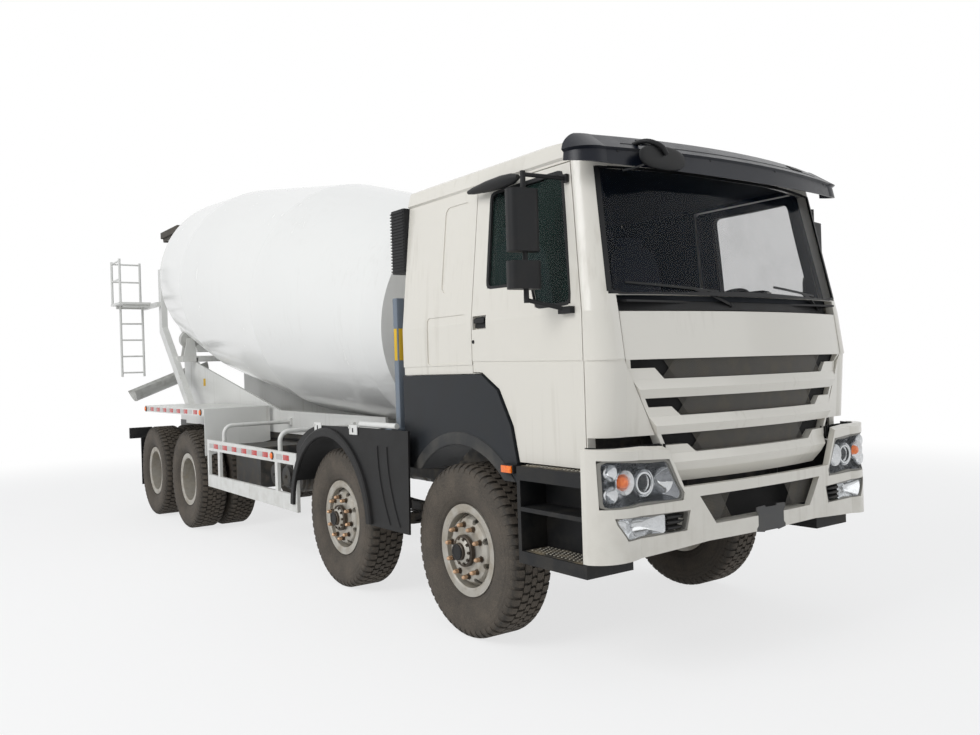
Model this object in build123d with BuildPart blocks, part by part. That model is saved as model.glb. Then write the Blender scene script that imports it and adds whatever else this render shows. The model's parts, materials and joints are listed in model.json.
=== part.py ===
from build123d import *
from math import cos, hypot, radians, sin
import os

os.makedirs("parts", exist_ok=True)

# Eight-wheel concrete mixer truck, in millimetres.
# +X points forward, +Y to the left, +Z up; the origin is on the ground at mid-length on the centre line.
# Lengths named *_ahead are measured forward from the front axle.

# ---- driving dimensions -------------------------------------------------------------------
overall_length = 10500
front_overhang = 1500
overall_width = 2490
axle_gaps = (1800, 3800, 1350)          # front axle to second, second to third, third to fourth

tyre_radius = 562.5
tyre_width = 313
rim_flange_radius = 300
rim_seat_radius = 254
rim_half_width = 119
flange_lip = 11
front_wheel_y = 1011                    # centre of a steered wheel
dual_centre_y = 915                     # plane where a pair of rear wheels is bolted together
dual_spacing = 351                      # centre to centre of a pair

rail_outer_y = 425
rail_top_z = 1130
rail_height = 300
rail_flange = 85
rail_wall = 10
subframe_height = 120
subframe_width = 70

kingpin_y = 880
spindle_radius = 45
hub_axle_radius = 60
running_gap = 0.05                      # radial, on every turning shaft
seat_gap = 0.3                          # between curved faces that only lie together
panel_gap = 6                           # between doors, lids and the shell

cab_half_width = 1150
cab_wall = 46
cab_rear_ahead = -700
cab_floor_z = 1650
cab_floor = 60
belt_z = 2035
lid_split_z = 1775                      # lower edge of the front lid's full-width part
lid_bottom_z = 1075
glass_thickness = 6

drum_slope = 9.33                       # degrees, rising to the rear
drum_start_ahead = -757
drum_start_z = 2050
drum_wall = 8
ring_along = 6850                       # riding ring, along the drum's axis
ring_radius = 915
ring_width = 90
roller_radius = 125
roller_width = 100
roller_angle = 30                       # each side of straight down
roller_pin_radius = 25

# ---- worked-out places ----------------------------------------------------------------------
front_axle_x = overall_length / 2 - front_overhang
axle_xs = [front_axle_x]
for gap in axle_gaps:
    axle_xs.append(axle_xs[-1] - gap)
axle_1_x, axle_2_x, axle_3_x, axle_4_x = axle_xs
axle_z = tyre_radius
half_width = overall_width / 2
rail_bottom_z = rail_top_z - rail_height
rail_inner_y = rail_outer_y - rail_flange
subframe_top_z = rail_top_z + subframe_height
rear_end_x = -overall_length / 2

slope = radians(drum_slope)
drum_start = Vector(front_axle_x + drum_start_ahead, 0, drum_start_z)
drum_along = Vector(-cos(slope), 0, sin(slope))
drum_down = Vector(-sin(slope), 0, -cos(slope))


def ahead(distance):
    """X of a place that far ahead of the front axle."""
    return front_axle_x + distance


def side_plane(y):
    """Sketch plane with X across and Z up; it extrudes towards -Y."""
    return Plane(origin=(0, y, 0), x_dir=(1, 0, 0), z_dir=(0, -1, 0))


def cross_plane(x):
    """Sketch plane with Y across and Z up; it extrudes towards +X."""
    return Plane(origin=(x, 0, 0), x_dir=(0, 1, 0), z_dir=(1, 0, 0))


def level_plane(z):
    """Sketch plane with X across and Y up; it extrudes towards +Z."""
    return Plane.XY.offset(z)


def plate(plane, outline, thickness, mode=Mode.ADD):
    """Extrudes a closed outline from a plane, into the part that is being made."""
    with BuildSketch(plane) as face:
        with BuildLine():
            Polyline(*outline, close=True)
        make_face()
    extrude(face.sketch, amount=thickness, mode=mode)


def block(low, high, mode=Mode.ADD):
    """A rectangular block between two corners, into the part that is being made."""
    size = [b - a for a, b in zip(low, high)]
    middle = [(a + b) / 2 for a, b in zip(low, high)]
    with Locations(tuple(middle)):
        Box(*size, mode=mode)


def rod(start, end, radius, mode=Mode.ADD):
    """A round bar from one point to another, into the part that is being made."""
    line = Vector(*end) - Vector(*start)
    with BuildSketch(Plane(origin=start, z_dir=line)) as face:
        Circle(radius)
    extrude(face.sketch, amount=line.length, mode=mode)


def turned(centre, outline, mode=Mode.ADD):
    """Turns an outline of (radius, y) about the Y line through a wheel's centre."""
    with BuildSketch(Plane(origin=centre, x_dir=(1, 0, 0), z_dir=(0, 0, 1))) as face:
        with BuildLine():
            Polyline(*outline, close=True)
        make_face()
    revolve(face.sketch, axis=Axis(centre, (0, 1, 0)), mode=mode)


def bent_tube(points, bend, radius):
    """A round tube along straight runs joined by arcs."""
    with BuildLine() as path:
        FilletPolyline(*points, radius=bend)
    start = path.line @ 0
    with BuildSketch(Plane(origin=start, z_dir=path.line % 0)) as face:
        Circle(radius)
    sweep(face.sketch, path=path.line)


def finish(piece, name):
    piece.part.label = name
    export_step(piece.part, f"parts/{name}.step")


# ---- wheels ----------------------------------------------------------------------------------
bead_y = rim_half_width - flange_lip - seat_gap
bead_radius = rim_seat_radius + seat_gap
wall_y = tyre_width / 2
tyre_half_outline = [                   # radius, distance from the tyre's middle
    (bead_radius, bead_y),
    (rim_flange_radius + 4, bead_y),
    (355, 140),
    (430, wall_y),
    (495, 153),
    (540, 140),
    (tyre_radius, 112),
]
tyre_outline = tyre_half_outline + [(r, -y) for r, y in reversed(tyre_half_outline)]


def rim_barrel_edge(near, far):
    """Barrel and flanges of one rim between two y values, as (radius, y), from near's inside."""
    out = 1 if far > near else -1
    lip = flange_lip * out
    seat = rim_seat_radius
    return [
        (seat - 10, near + 7 * out),
        (seat + 2, near),
        (rim_flange_radius, near),
        (rim_flange_radius, near + lip),
        (seat, near + lip),
        (seat, far - lip),
        (rim_flange_radius, far - lip),
        (rim_flange_radius, far),
        (seat + 2, far),
        (seat - 10, far - 7 * out),
    ]


barrel_inside = rim_seat_radius - 10
brake_drum_radius = 188
front_rim_outline = [                   # radius, distance outboard of the wheel's middle
    (0, 172), (60, 172), (88, 156), (95, 120), (172, 120), (205, 104), (barrel_inside, 44),
    *rim_barrel_edge(rim_half_width, -rim_half_width),
    (barrel_inside, 28), (198, 90), (brake_drum_radius, 94),
    (brake_drum_radius, -70), (brake_drum_radius - 14, -70), (brake_drum_radius - 14, 84),
    (120, 84), (105, -25), (spindle_radius + running_gap, -25),
    (spindle_radius + running_gap, 100), (0, 100),
]
dual_near = dual_spacing / 2 - rim_half_width
dual_far = dual_spacing / 2 + rim_half_width
dual_rim_outline = [                    # radius, distance outboard of the bolting plane
    (0, 165), (85, 165), (95, 150), (95, 110), (140, 104), (140, 14), (170, 14), (205, 40),
    (barrel_inside, 110),
    *rim_barrel_edge(dual_far, dual_near),
    (barrel_inside, 96), (203, 26), (176, 0), (203, -26), (barrel_inside, -96),
    *rim_barrel_edge(-dual_near, -dual_far),
    (barrel_inside, -110), (205, -40), (180, -22), (180, -250), (166, -250), (166, -40),
    (110, -40), (100, -150), (hub_axle_radius + running_gap, -150),
    (hub_axle_radius + running_gap, 100), (0, 100),
]
hand_hole_radius = 21
hand_hole_circle = 208

wheels = []                             # name, axle X, side, tyre centres from the wheel plane
for place, x in (("front", axle_1_x), ("second", axle_2_x)):
    for side_name, side in (("left", 1), ("right", -1)):
        wheels.append((f"{place}_{side_name}", x, side, front_wheel_y, (0,), front_rim_outline))
for place, x in (("third", axle_3_x), ("fourth", axle_4_x)):
    for side_name, side in (("left", 1), ("right", -1)):
        centres = (dual_spacing / 2, -dual_spacing / 2)
        wheels.append((f"{place}_{side_name}", x, side, dual_centre_y, centres, dual_rim_outline))

for name, x, side, plane_y, centres, rim_outline in wheels:
    middle = (x, side * plane_y, axle_z)
    with BuildPart() as tyre:
        for centre in centres:
            turned((x, side * (plane_y + centre), axle_z), tyre_outline)
    finish(tyre, f"tyre_{name}")

    with BuildPart() as rim:
        turned(middle, [(r, side * y) for r, y in rim_outline])
        with Locations(Plane(origin=middle, x_dir=(1, 0, 0), z_dir=(0, 1, 0))):
            with PolarLocations(hand_hole_circle, 8, start_angle=22.5):
                Cylinder(hand_hole_radius, 300, mode=Mode.SUBTRACT)
    finish(rim, f"rim_{name}")

# ---- steering knuckles -------------------------------------------------------------------------
boss_half = 55
lug_gap = 3
lug_height = 42
backing_y = front_wheel_y - 80          # inner face of the brake backing plate
spindle_end_y = front_wheel_y + 95
pin_radius = 22

for name, x, side, _, _, outline in wheels:
    if outline is not front_rim_outline:
        continue
    with BuildPart() as knuckle:
        for low in (boss_half + lug_gap, -boss_half - lug_gap - lug_height):
            with BuildSketch(level_plane(axle_z + low)) as lug:
                with Locations((x, side * kingpin_y)):
                    Circle(46)
                with Locations((x, side * (kingpin_y + backing_y) / 2)):
                    Rectangle(84, backing_y - kingpin_y)
            extrude(lug.sketch, amount=lug_height)
        rod((x, side * backing_y, axle_z), (x, side * (backing_y + 6), axle_z), 170)
        rod((x, side * (backing_y + 6), axle_z), (x, side * (backing_y + 46), axle_z), 62)
        rod((x, side * (backing_y + 46), axle_z), (x, side * spindle_end_y, axle_z), spindle_radius)
        arm_top = axle_z - boss_half - lug_gap - 8
        block((x - 190, min(side * kingpin_y, side * (kingpin_y - 36)), arm_top - 26),
              (x - 30, max(side * kingpin_y, side * (kingpin_y - 36)), arm_top))
        rod((x, side * kingpin_y, axle_z - 120), (x, side * kingpin_y, axle_z + 120),
            pin_radius + running_gap, mode=Mode.SUBTRACT)
    finish(knuckle, f"knuckle_{name}")

# ---- axles -----------------------------------------------------------------------------------------
beam_width = 90
spring_y = 385
with BuildPart() as front_axle_beams:
    for x in (axle_1_x, axle_2_x):
        for side in (1, -1):
            plate(cross_plane(x - beam_width / 2), [
                (0, 430), (0, 520), (side * 470, 520), (side * 640, 545), (side * (kingpin_y - 30), 608),
                (side * (kingpin_y - 30), 518), (side * 650, 450), (side * 480, 430)], beam_width)
            for face in (x - beam_width / 2, x + beam_width / 2 - 28):
                plate(cross_plane(face), [
                    (0, 448), (0, 502), (side * 465, 502), (side * 465, 448)], 28, mode=Mode.SUBTRACT)
            rod((x, side * kingpin_y, axle_z - boss_half), (x, side * kingpin_y, axle_z + boss_half), 48)
            rod((x, side * kingpin_y, axle_z - 100), (x, side * kingpin_y, axle_z + 100), pin_radius)
            block((x - 90, side * spring_y - 50, 520), (x + 90, side * spring_y + 50, 536))
finish(front_axle_beams, "front_axle_beams")

tube_radius = 75
tube_end_y = dual_centre_y - 158
with BuildPart() as drive_axles:
    for x in (axle_3_x, axle_4_x):
        rod((x, -tube_end_y, axle_z), (x, tube_end_y, axle_z), tube_radius)
        rod((x, -dual_centre_y - 95, axle_z), (x, dual_centre_y + 95, axle_z), hub_axle_radius)
        for side in (1, -1):
            rod((x, side * (dual_centre_y - 262), axle_z), (x, side * (dual_centre_y - 256), axle_z), 158)
        with BuildSketch(Plane(origin=(x - 70, 0, axle_z), z_dir=(1, 0, 0))) as banjo:
            Circle(205)
        extrude(banjo.sketch, amount=140)
        with BuildSketch(Plane(origin=(x + 70, 0, axle_z), z_dir=(1, 0, 0))) as carrier:
            Circle(150)
        extrude(carrier.sketch, amount=190, taper=20)
        for side in (1, -1):
            block((x - 70, side * 505 - 50, axle_z), (x + 70, side * 505 + 50, axle_z + 89))
    rod((axle_3_x - 70, 0, axle_z), (axle_4_x + 250, 0, axle_z), 45)
finish(drive_axles, "drive_axles")

# ---- springs: arched leaf packs, front ones under the rails, one inverted pack each side behind ----
pack_width = 80
leaf_seat_z = 536
trunnion_x = (axle_3_x + axle_4_x) / 2
trunnion_z = 690
rear_spring_y = 505


def leaf_pack(x, side_y, half_length, middle_z, rise, thickness, width):
    """An arched pack, thick in the middle and one leaf thick at its ends."""
    with BuildSketch(side_plane(side_y + width / 2)) as pack:
        with BuildLine():
            ThreePointArc((x - half_length, middle_z + rise), (x, middle_z), (x + half_length, middle_z + rise))
            Line((x + half_length, middle_z + rise), (x + half_length, middle_z + rise + 18))
            ThreePointArc((x + half_length, middle_z + rise + 18), (x, middle_z + thickness),
                          (x - half_length, middle_z + rise + 18))
            Line((x - half_length, middle_z + rise + 18), (x - half_length, middle_z + rise))
        make_face()
    extrude(pack.sketch, amount=width)


with BuildPart() as leaf_springs:
    for x in (axle_1_x, axle_2_x):
        for side in (1, -1):
            leaf_pack(x, side * spring_y, 760, leaf_seat_z, 150, 75, pack_width)
            for end in (x - 750, x + 750):
                block((end - 22, side * spring_y - 30, leaf_seat_z + 155),
                      (end + 22, side * spring_y + 30, rail_bottom_z))
    for side in (1, -1):
        leaf_pack(trunnion_x, side * rear_spring_y, axle_gaps[2] / 2 + 60, 780, -128, 62, 90)
        block((trunnion_x - 110, side * rear_spring_y - 45, trunnion_z),
              (trunnion_x + 110, side * rear_spring_y + 45, 790))
        plate(side_plane(side * (rail_outer_y + 10) + 10), [
            (trunnion_x - 80, trunnion_z - 80), (trunnion_x + 80, trunnion_z - 80),
            (trunnion_x + 190, rail_bottom_z + 180), (trunnion_x - 190, rail_bottom_z + 180)], 20)
    rod((trunnion_x, -570, trunnion_z), (trunnion_x, 570, trunnion_z), 62)
finish(leaf_springs, "leaf_springs")

# ---- chassis frame ------------------------------------------------------------------------------------
frame_front_x = ahead(1270)
frame_rear_x = ahead(-8480)
with BuildPart() as frame_rails:
    for side in (1, -1):
        plate(cross_plane(frame_rear_x), [
            (side * rail_outer_y, rail_bottom_z), (side * rail_outer_y, rail_top_z),
            (side * rail_inner_y, rail_top_z), (side * rail_inner_y, rail_top_z - rail_wall),
            (side * (rail_outer_y - rail_wall), rail_top_z - rail_wall),
            (side * (rail_outer_y - rail_wall), rail_bottom_z + rail_wall),
            (side * rail_inner_y, rail_bottom_z + rail_wall), (side * rail_inner_y, rail_bottom_z)],
            frame_front_x - frame_rear_x)
    inner = rail_outer_y - rail_wall
    for x in (ahead(1180), ahead(-2350), ahead(-3500), ahead(-4900), ahead(-6275), ahead(-7600), ahead(-8440)):
        block((x - 30, -inner, rail_bottom_z + 70), (x + 30, inner, rail_top_z - 60))
        block((x - 70, -inner, rail_top_z - 60), (x + 70, inner, rail_top_z - 50))
finish(frame_rails, "frame_rails")

with BuildPart() as engine_block:
    block((ahead(-650), -300, 700), (ahead(780), 300, 1560))
    plate(side_plane(210), [
        (ahead(-650), 740), (ahead(-650), 1180), (ahead(-800), 1180), (ahead(-1050), 1100),
        (ahead(-1500), 1040), (ahead(-1500), 760), (ahead(-1000), 700)], 420)
    rod((ahead(-1500), 0, 880), (ahead(-1570), 0, 872), 70)
    # feet on the rails' lower flanges
    for x in (ahead(350), ahead(-500)):
        foot_z = rail_bottom_z + rail_wall + seat_gap
        block((x - 50, -400, foot_z), (x + 50, 400, foot_z + 60))
finish(engine_block, "engine_block")

# ---- tanks and boxes between the second and third axles --------------------------------------------------
tank_low_z = 560
fuel_tank_x = (ahead(-3700), ahead(-2700))
air_tank_radius = 120
air_tank_z = 760
with BuildPart() as side_tanks:
    with BuildSketch(cross_plane(fuel_tank_x[0])) as tank:
        with Locations((815, tank_low_z + 260)):
            RectangleRounded(600, 520, 90)
    extrude(tank.sketch, amount=fuel_tank_x[1] - fuel_tank_x[0])
    for x in (fuel_tank_x[0] + 180, fuel_tank_x[1] - 180):
        block((x - 30, rail_outer_y, tank_low_z + 40), (x + 30, 520, rail_top_z - 90))
    for place in (-3560, -3270, -2980):
        x = ahead(place)
        rod((x, -960, air_tank_z), (x, -520, air_tank_z), air_tank_radius)
        for face_y, out in ((-960, -1), (-520, 1)):
            rod((x, face_y, air_tank_z), (x, face_y + out * 28, air_tank_z), air_tank_radius * 0.8)
        block((x - 25, -548, air_tank_z), (x + 25, -rail_outer_y, 960))
finish(side_tanks, "side_tanks")

with BuildPart() as chassis_boxes:
    block((ahead(-4560), -1010, 600), (ahead(-3860), -500, 1010))
    block((ahead(-4400), -500, 840), (ahead(-4020), -rail_outer_y, 1000))
    with BuildSketch(cross_plane(ahead(-4700))) as silencer:
        with Locations((800, 790)):
            RectangleRounded(460, 440, 120)
    extrude(silencer.sketch, amount=760)
    block((ahead(-4450), rail_outer_y, 860), (ahead(-4150), 640, 960))
finish(chassis_boxes, "chassis_boxes")

# ---- drum subframe: box members on the rails, rising side plates at the rear -------------------------------
subframe_front_x = ahead(-760)
subframe_rear_x = ahead(-8460)
side_plate_y = rail_outer_y + 26
pedestal_x = ahead(-1010)
chute_post_x = ahead(-8420)
chute_post_radius = 45
saddle_z = 1830                         # top of the front pedestal
with BuildPart() as drum_subframe:
    for side in (1, -1):
        low_y = min(side * rail_outer_y, side * (rail_outer_y - subframe_width))
        block((subframe_rear_x, low_y, rail_top_z),
              (subframe_front_x, low_y + subframe_width, subframe_top_z))
        plate(side_plane(side * (side_plate_y - 13) + 13), [
            (ahead(-2250), rail_top_z - 40), (ahead(-2250), 1328), (ahead(-4670), 1340), (ahead(-7440), 1910),
            (ahead(-8130), 2105), (ahead(-8130), rail_top_z - 40)], 26)
        # front pedestal legs, leaning in to the gearbox saddle
        plate(cross_plane(pedestal_x - 30), [
            (side * 410, subframe_top_z), (side * 290, subframe_top_z), (side * 150, 1800),
            (side * 230, 1800)], 60)
        plate(side_plane(side * 185 + 6), [
            (pedestal_x - 120, subframe_top_z + 10), (pedestal_x + 170, subframe_top_z + 10),
            (pedestal_x + 60, 1795), (pedestal_x - 30, 1795)], 12)
    for x, half in ((pedestal_x, 60), (ahead(-2300), 50), (ahead(-8400), 50)):
        block((x - half, -rail_outer_y + subframe_width, subframe_top_z - 90),
              (x + half, rail_outer_y - subframe_width, subframe_top_z - 10))
    block((pedestal_x - 70, -230, saddle_z - 40), (pedestal_x + 70, 230, saddle_z))
    # post that the discharge chute swivels on
    rod((chute_post_x, 0, subframe_top_z - 20), (chute_post_x, 0, 1590), chute_post_radius)
    rod((chute_post_x, 0, subframe_top_z - 20), (chute_post_x, 0, 1300), 80)
finish(drum_subframe, "drum_subframe")

# ---- mixing drum ---------------------------------------------------------------------------------------------
def on_axis(along):
    """A point of the drum's axis."""
    return drum_start + drum_along * along


drum_plane = Plane(origin=drum_start, x_dir=(0, 1, 0), z_dir=drum_down)
drum_axis = Axis(drum_start, drum_along)
gear_shaft_radius = 60
gear_face_along = 480
drum_outer = [                          # distance along the axis, outer radius
    (gear_face_along + 20, 300),
    (560, 600),
    (640, 940),
    (901, 991),
    (2799, 1191),
    (5133, 1168),
    (6467, 1032),
    (ring_along - ring_width / 2, 890),
    (ring_along + ring_width / 2, 852),
    (7500, 600),
]


def drum_turn(outline, mode=Mode.ADD):
    """Turns an outline of (distance along, radius) about the drum's axis."""
    frame_plane = Plane(origin=drum_start, x_dir=drum_along, z_dir=(0, -1, 0))
    lift = 1 if frame_plane.y_dir.Z > 0 else -1
    with BuildSketch(frame_plane) as face:
        with BuildLine():
            Polyline(*[(along, lift * radius) for along, radius in outline], close=True)
        make_face()
    revolve(face.sketch, axis=drum_axis, mode=mode)


mouth_along, mouth_radius = drum_outer[-1]
with BuildPart() as mixing_drum:
    inner_wall = [(along, radius - drum_wall) for along, radius in reversed(drum_outer[2:])]
    drum_turn([*drum_outer, *inner_wall,
               (640 + drum_wall, 900), (560 + drum_wall, 590), (gear_face_along + 20 + drum_wall + 12, 290),
               (gear_face_along + 60, gear_shaft_radius + running_gap),
               (gear_face_along, gear_shaft_radius + running_gap), (gear_face_along, 260),
               (gear_face_along + 20, 260)])
    ring_low, ring_high = ring_along - ring_width / 2, ring_along + ring_width / 2
    drum_turn([(ring_low, ring_radius), (ring_high, ring_radius), (ring_high, 847), (ring_low, 884)])
    drum_turn([(mouth_along - 40, mouth_radius + 12), (mouth_along, mouth_radius + 12),
               (mouth_along, mouth_radius - drum_wall), (mouth_along - 40, mouth_radius - drum_wall)])
finish(mixing_drum, "mixing_drum")

with BuildPart() as drum_gearbox:
    drum_turn([(30, 0), (30, 120), (70, 150), (150, 150), (160, 235), (330, 235), (345, 200), (430, 185),
               (440, 120), (gear_face_along - 6, 120), (gear_face_along - 6, gear_shaft_radius),
               (gear_face_along + 58, gear_shaft_radius), (gear_face_along + 58, 0)])
    foot_top = on_axis(245).Z
    block((pedestal_x - 70, -180, saddle_z), (pedestal_x + 70, 180, foot_top - 120))
finish(drum_gearbox, "drum_gearbox")

# ---- rollers and rear pedestal ----------------------------------------------------------------------------------
ring_centre = on_axis(ring_along)
roller_reach = ring_radius + roller_radius + seat_gap
tilt = radians(roller_angle)
roller_centres = {
    side_name: ring_centre + drum_down * (roller_reach * cos(tilt)) + Vector(0, side * roller_reach * sin(tilt), 0)
    for side_name, side in (("left", 1), ("right", -1))}
for side_name, centre in roller_centres.items():
    with BuildPart() as roller:
        start = centre - drum_along * (roller_width / 2)
        rod(start, start + drum_along * roller_width, roller_radius)
        rod(start, start + drum_along * roller_width, roller_pin_radius + running_gap, mode=Mode.SUBTRACT)
    finish(roller, f"drum_roller_{side_name}")

column_y = 710
column_x = ahead(-8200)
cradle_x = roller_centres["left"].X
cradle_z = (1960, 2040)
with BuildPart() as rear_pedestal:
    block((cradle_x - 90, -640, cradle_z[0]), (cradle_x + 90, 640, cradle_z[1]))
    for side in (1, -1):
        centre = roller_centres["left" if side > 0 else "right"]
        for end in (-1, 1):
            middle = centre + drum_along * (end * (roller_width / 2 + 16))
            cheek = Plane(origin=middle, x_dir=(0, 1, 0), z_dir=drum_along)
            drop = -(middle.Z - cradle_z[1] + 20) / cos(slope)
            with BuildSketch(cheek) as cheek_face:
                up = 1 if cheek.y_dir.Z > 0 else -1
                with BuildLine():
                    Polyline((-50, up * 30), (50, up * 30), (90, up * drop), (-90, up * drop), close=True)
                make_face()
            extrude(cheek_face.sketch, amount=10, both=True)
        start = centre - drum_along * (roller_width / 2 + 30)
        rod(start, start + drum_along * (roller_width + 60), roller_pin_radius)
        # side frame: a foot on the side plate, a leaning strut, a column beside the drum's mouth
        plate(side_plane(side * column_y + 40), [
            (ahead(-6900), 1300), (ahead(-7080), 1300), (ahead(-8260), 2400), (ahead(-8260), 3300),
            (ahead(-8130), 3300), (ahead(-8130), 2470)], 80)
        low_y, high_y = sorted((side * side_plate_y, side * (column_y + 40)))
        block((ahead(-7080), low_y, 1300), (ahead(-6920), high_y, 1380))
        block((cradle_x - 60, min(side * 600, side * 700), cradle_z[0]),
              (cradle_x + 60, max(side * 600, side * 700), cradle_z[1]))
        # slot where the cradle sits down over the subframe's side plate
        low_y, high_y = sorted((side * (rail_outer_y - seat_gap), side * (side_plate_y + seat_gap)))
        block((cradle_x - 100, low_y, cradle_z[0] - 10), (cradle_x + 100, high_y, 2018), mode=Mode.SUBTRACT)
    block((ahead(-8260), -750, 3220), (ahead(-8230), 750, 3300))
finish(rear_pedestal, "rear_pedestal")

# ---- feed hopper, discharge funnel -------------------------------------------------------------------------------
hopper_top_z = 3920
hopper_wall = 8


def funnel(top, bottom, wall):
    """An open four-sided funnel between two level rectangles: (low x, high x, half y, z)."""
    for inset, mode in ((0, Mode.ADD), (wall, Mode.SUBTRACT)):
        with BuildSketch(level_plane(top[3])) as upper:
            with Locations(((top[0] + top[1]) / 2, 0)):
                Rectangle(top[1] - top[0] - 2 * inset, 2 * (top[2] - inset))
        with BuildSketch(level_plane(bottom[3])) as lower:
            with Locations(((bottom[0] + bottom[1]) / 2, 0)):
                Rectangle(bottom[1] - bottom[0] - 2 * inset, 2 * (bottom[2] - inset))
        loft([lower.sketch, upper.sketch], ruled=True, mode=mode)


hopper_top = (ahead(-8975), ahead(-8170), 470, hopper_top_z)
hopper_throat = (ahead(-8250), ahead(-8050), 200, 3330)
with BuildPart() as feed_hopper:
    funnel(hopper_top, hopper_throat, hopper_wall)
    for side in (1, -1):
        low_y, high_y = sorted((side * 150, side * 320))
        block((ahead(-8258), low_y, 3300.3), (ahead(-8240), high_y, 3400))
    funnel((hopper_top[0] - 20, hopper_top[1] + 20, hopper_top[2] + 20, hopper_top_z + 30),
           (hopper_top[0] - 20, hopper_top[1] + 20, hopper_top[2] + 20, hopper_top_z - 60), 20)
finish(feed_hopper, "feed_hopper")

funnel_top = (ahead(-8760), ahead(-8290), 560, 3000)
funnel_bottom = (ahead(-8600), ahead(-8330), 190, 2120)
with BuildPart() as discharge_funnel:
    funnel(funnel_top, funnel_bottom, 8)
    for side in (1, -1):
        low_y, high_y = sorted((side * 545, side * (column_y - 40 - seat_gap)))
        block((ahead(-8310), low_y, 2920), (ahead(-8225), high_y, 3000))
finish(discharge_funnel, "discharge_funnel")

# ---- discharge chute: a swivelling arm on a post, and a trough that tilts on it ----------------------------------------
chute_pivot_y = -60                     # tilt pin, towards the stowed side
chute_pivot_z = 1730
chute_length = 1110
chute_fall = 21                         # degrees below level
chute_half = 190
with BuildPart() as chute_arm:
    rod((chute_post_x, 0, 1310), (chute_post_x, 0, 1640), 70)
    rod((chute_post_x, 0, 1310), (chute_post_x, 0, 1600), chute_post_radius + running_gap, mode=Mode.SUBTRACT)
    block((chute_post_x - 70, -70, 1620), (chute_post_x + 70, 70, 1660))
    for edge in (-70, 50):
        block((chute_post_x + edge, chute_pivot_y - 30, 1640), (chute_post_x + edge + 20, 60, chute_pivot_z + 30))
    rod((chute_post_x - 100, chute_pivot_y, chute_pivot_z), (chute_post_x + 100, chute_pivot_y, chute_pivot_z), 20)
finish(chute_arm, "chute_arm")

fall = radians(chute_fall)
chute_along = Vector(0, -cos(fall), -sin(fall))
chute_up = Vector(0, -sin(fall), cos(fall))
with BuildPart() as chute:
    start = Vector(chute_post_x, chute_pivot_y, chute_pivot_z) + chute_up * 75 - chute_along * 60
    end_plane = Plane(origin=start, x_dir=(1, 0, 0), z_dir=chute_along)
    lift = 1 if end_plane.y_dir.Z > 0 else -1
    with BuildSketch(end_plane) as trough:
        with BuildLine():
            ThreePointArc((-chute_half, lift * 160), (0, 0), (chute_half, lift * 160))
            Line((chute_half, lift * 160), (chute_half - 8, lift * 160))
            ThreePointArc((chute_half - 8, lift * 160), (0, lift * 8), (-chute_half + 8, lift * 160))
            Line((-chute_half + 8, lift * 160), (-chute_half, lift * 160))
        make_face()
    extrude(trough.sketch, amount=chute_length)
    for edge in (-94, 74):
        block((chute_post_x + edge, chute_pivot_y - 32, chute_pivot_z - 32),
              (chute_post_x + edge + 20, chute_pivot_y + 32, chute_pivot_z + 112))
    rod((chute_post_x - 120, chute_pivot_y, chute_pivot_z), (chute_post_x + 120, chute_pivot_y, chute_pivot_z),
        20 + running_gap, mode=Mode.SUBTRACT)
finish(chute, "chute")

# ---- platform, ladder and handrail at the right rear corner ----------------------------------------------------------------
deck_x = (ahead(-8990), ahead(-8480))
deck_y = (-1235, -800)
deck_z = 2850
ladder_x = ahead(-8880)
ladder_low_z = 1780
rail_top = 3470
with BuildPart() as rear_platform:
    block((deck_x[0], deck_y[0], deck_z - 30), (deck_x[1], deck_y[1], deck_z))
    for x in (deck_x[0] + 60, deck_x[1] - 60):
        block((x - 20, deck_y[0] + 60, deck_z - 70), (x + 20, -column_y - 40 - seat_gap, deck_z - 30))
    block((deck_x[0] + 30, -812, deck_z - 80), (ahead(-8150), -column_y - 40 - seat_gap, deck_z - 20))
    for y in (-1130, -820):
        rod((ladder_x, y, ladder_low_z), (ladder_x, y, deck_z - 20), 17)
    rung_z = ladder_low_z + 60
    while rung_z < deck_z - 60:
        rod((ladder_x, -1130, rung_z), (ladder_x, -820, rung_z), 12)
        rung_z += 240
    for post_x, post_y in ((deck_x[0] + 20, -1215), (deck_x[0] + 20, -820), (deck_x[1] - 20, -1215)):
        rod((post_x, post_y, deck_z - 5), (post_x, post_y, rail_top), 17)
    for height in (rail_top - 30, 3180):
        rod((deck_x[0] + 15, -1215, height), (deck_x[1] - 15, -1215, height), 12)
        rod((deck_x[0] + 20, -1210, height), (deck_x[0] + 20, -815, height), 12)
finish(rear_platform, "rear_platform")

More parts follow.
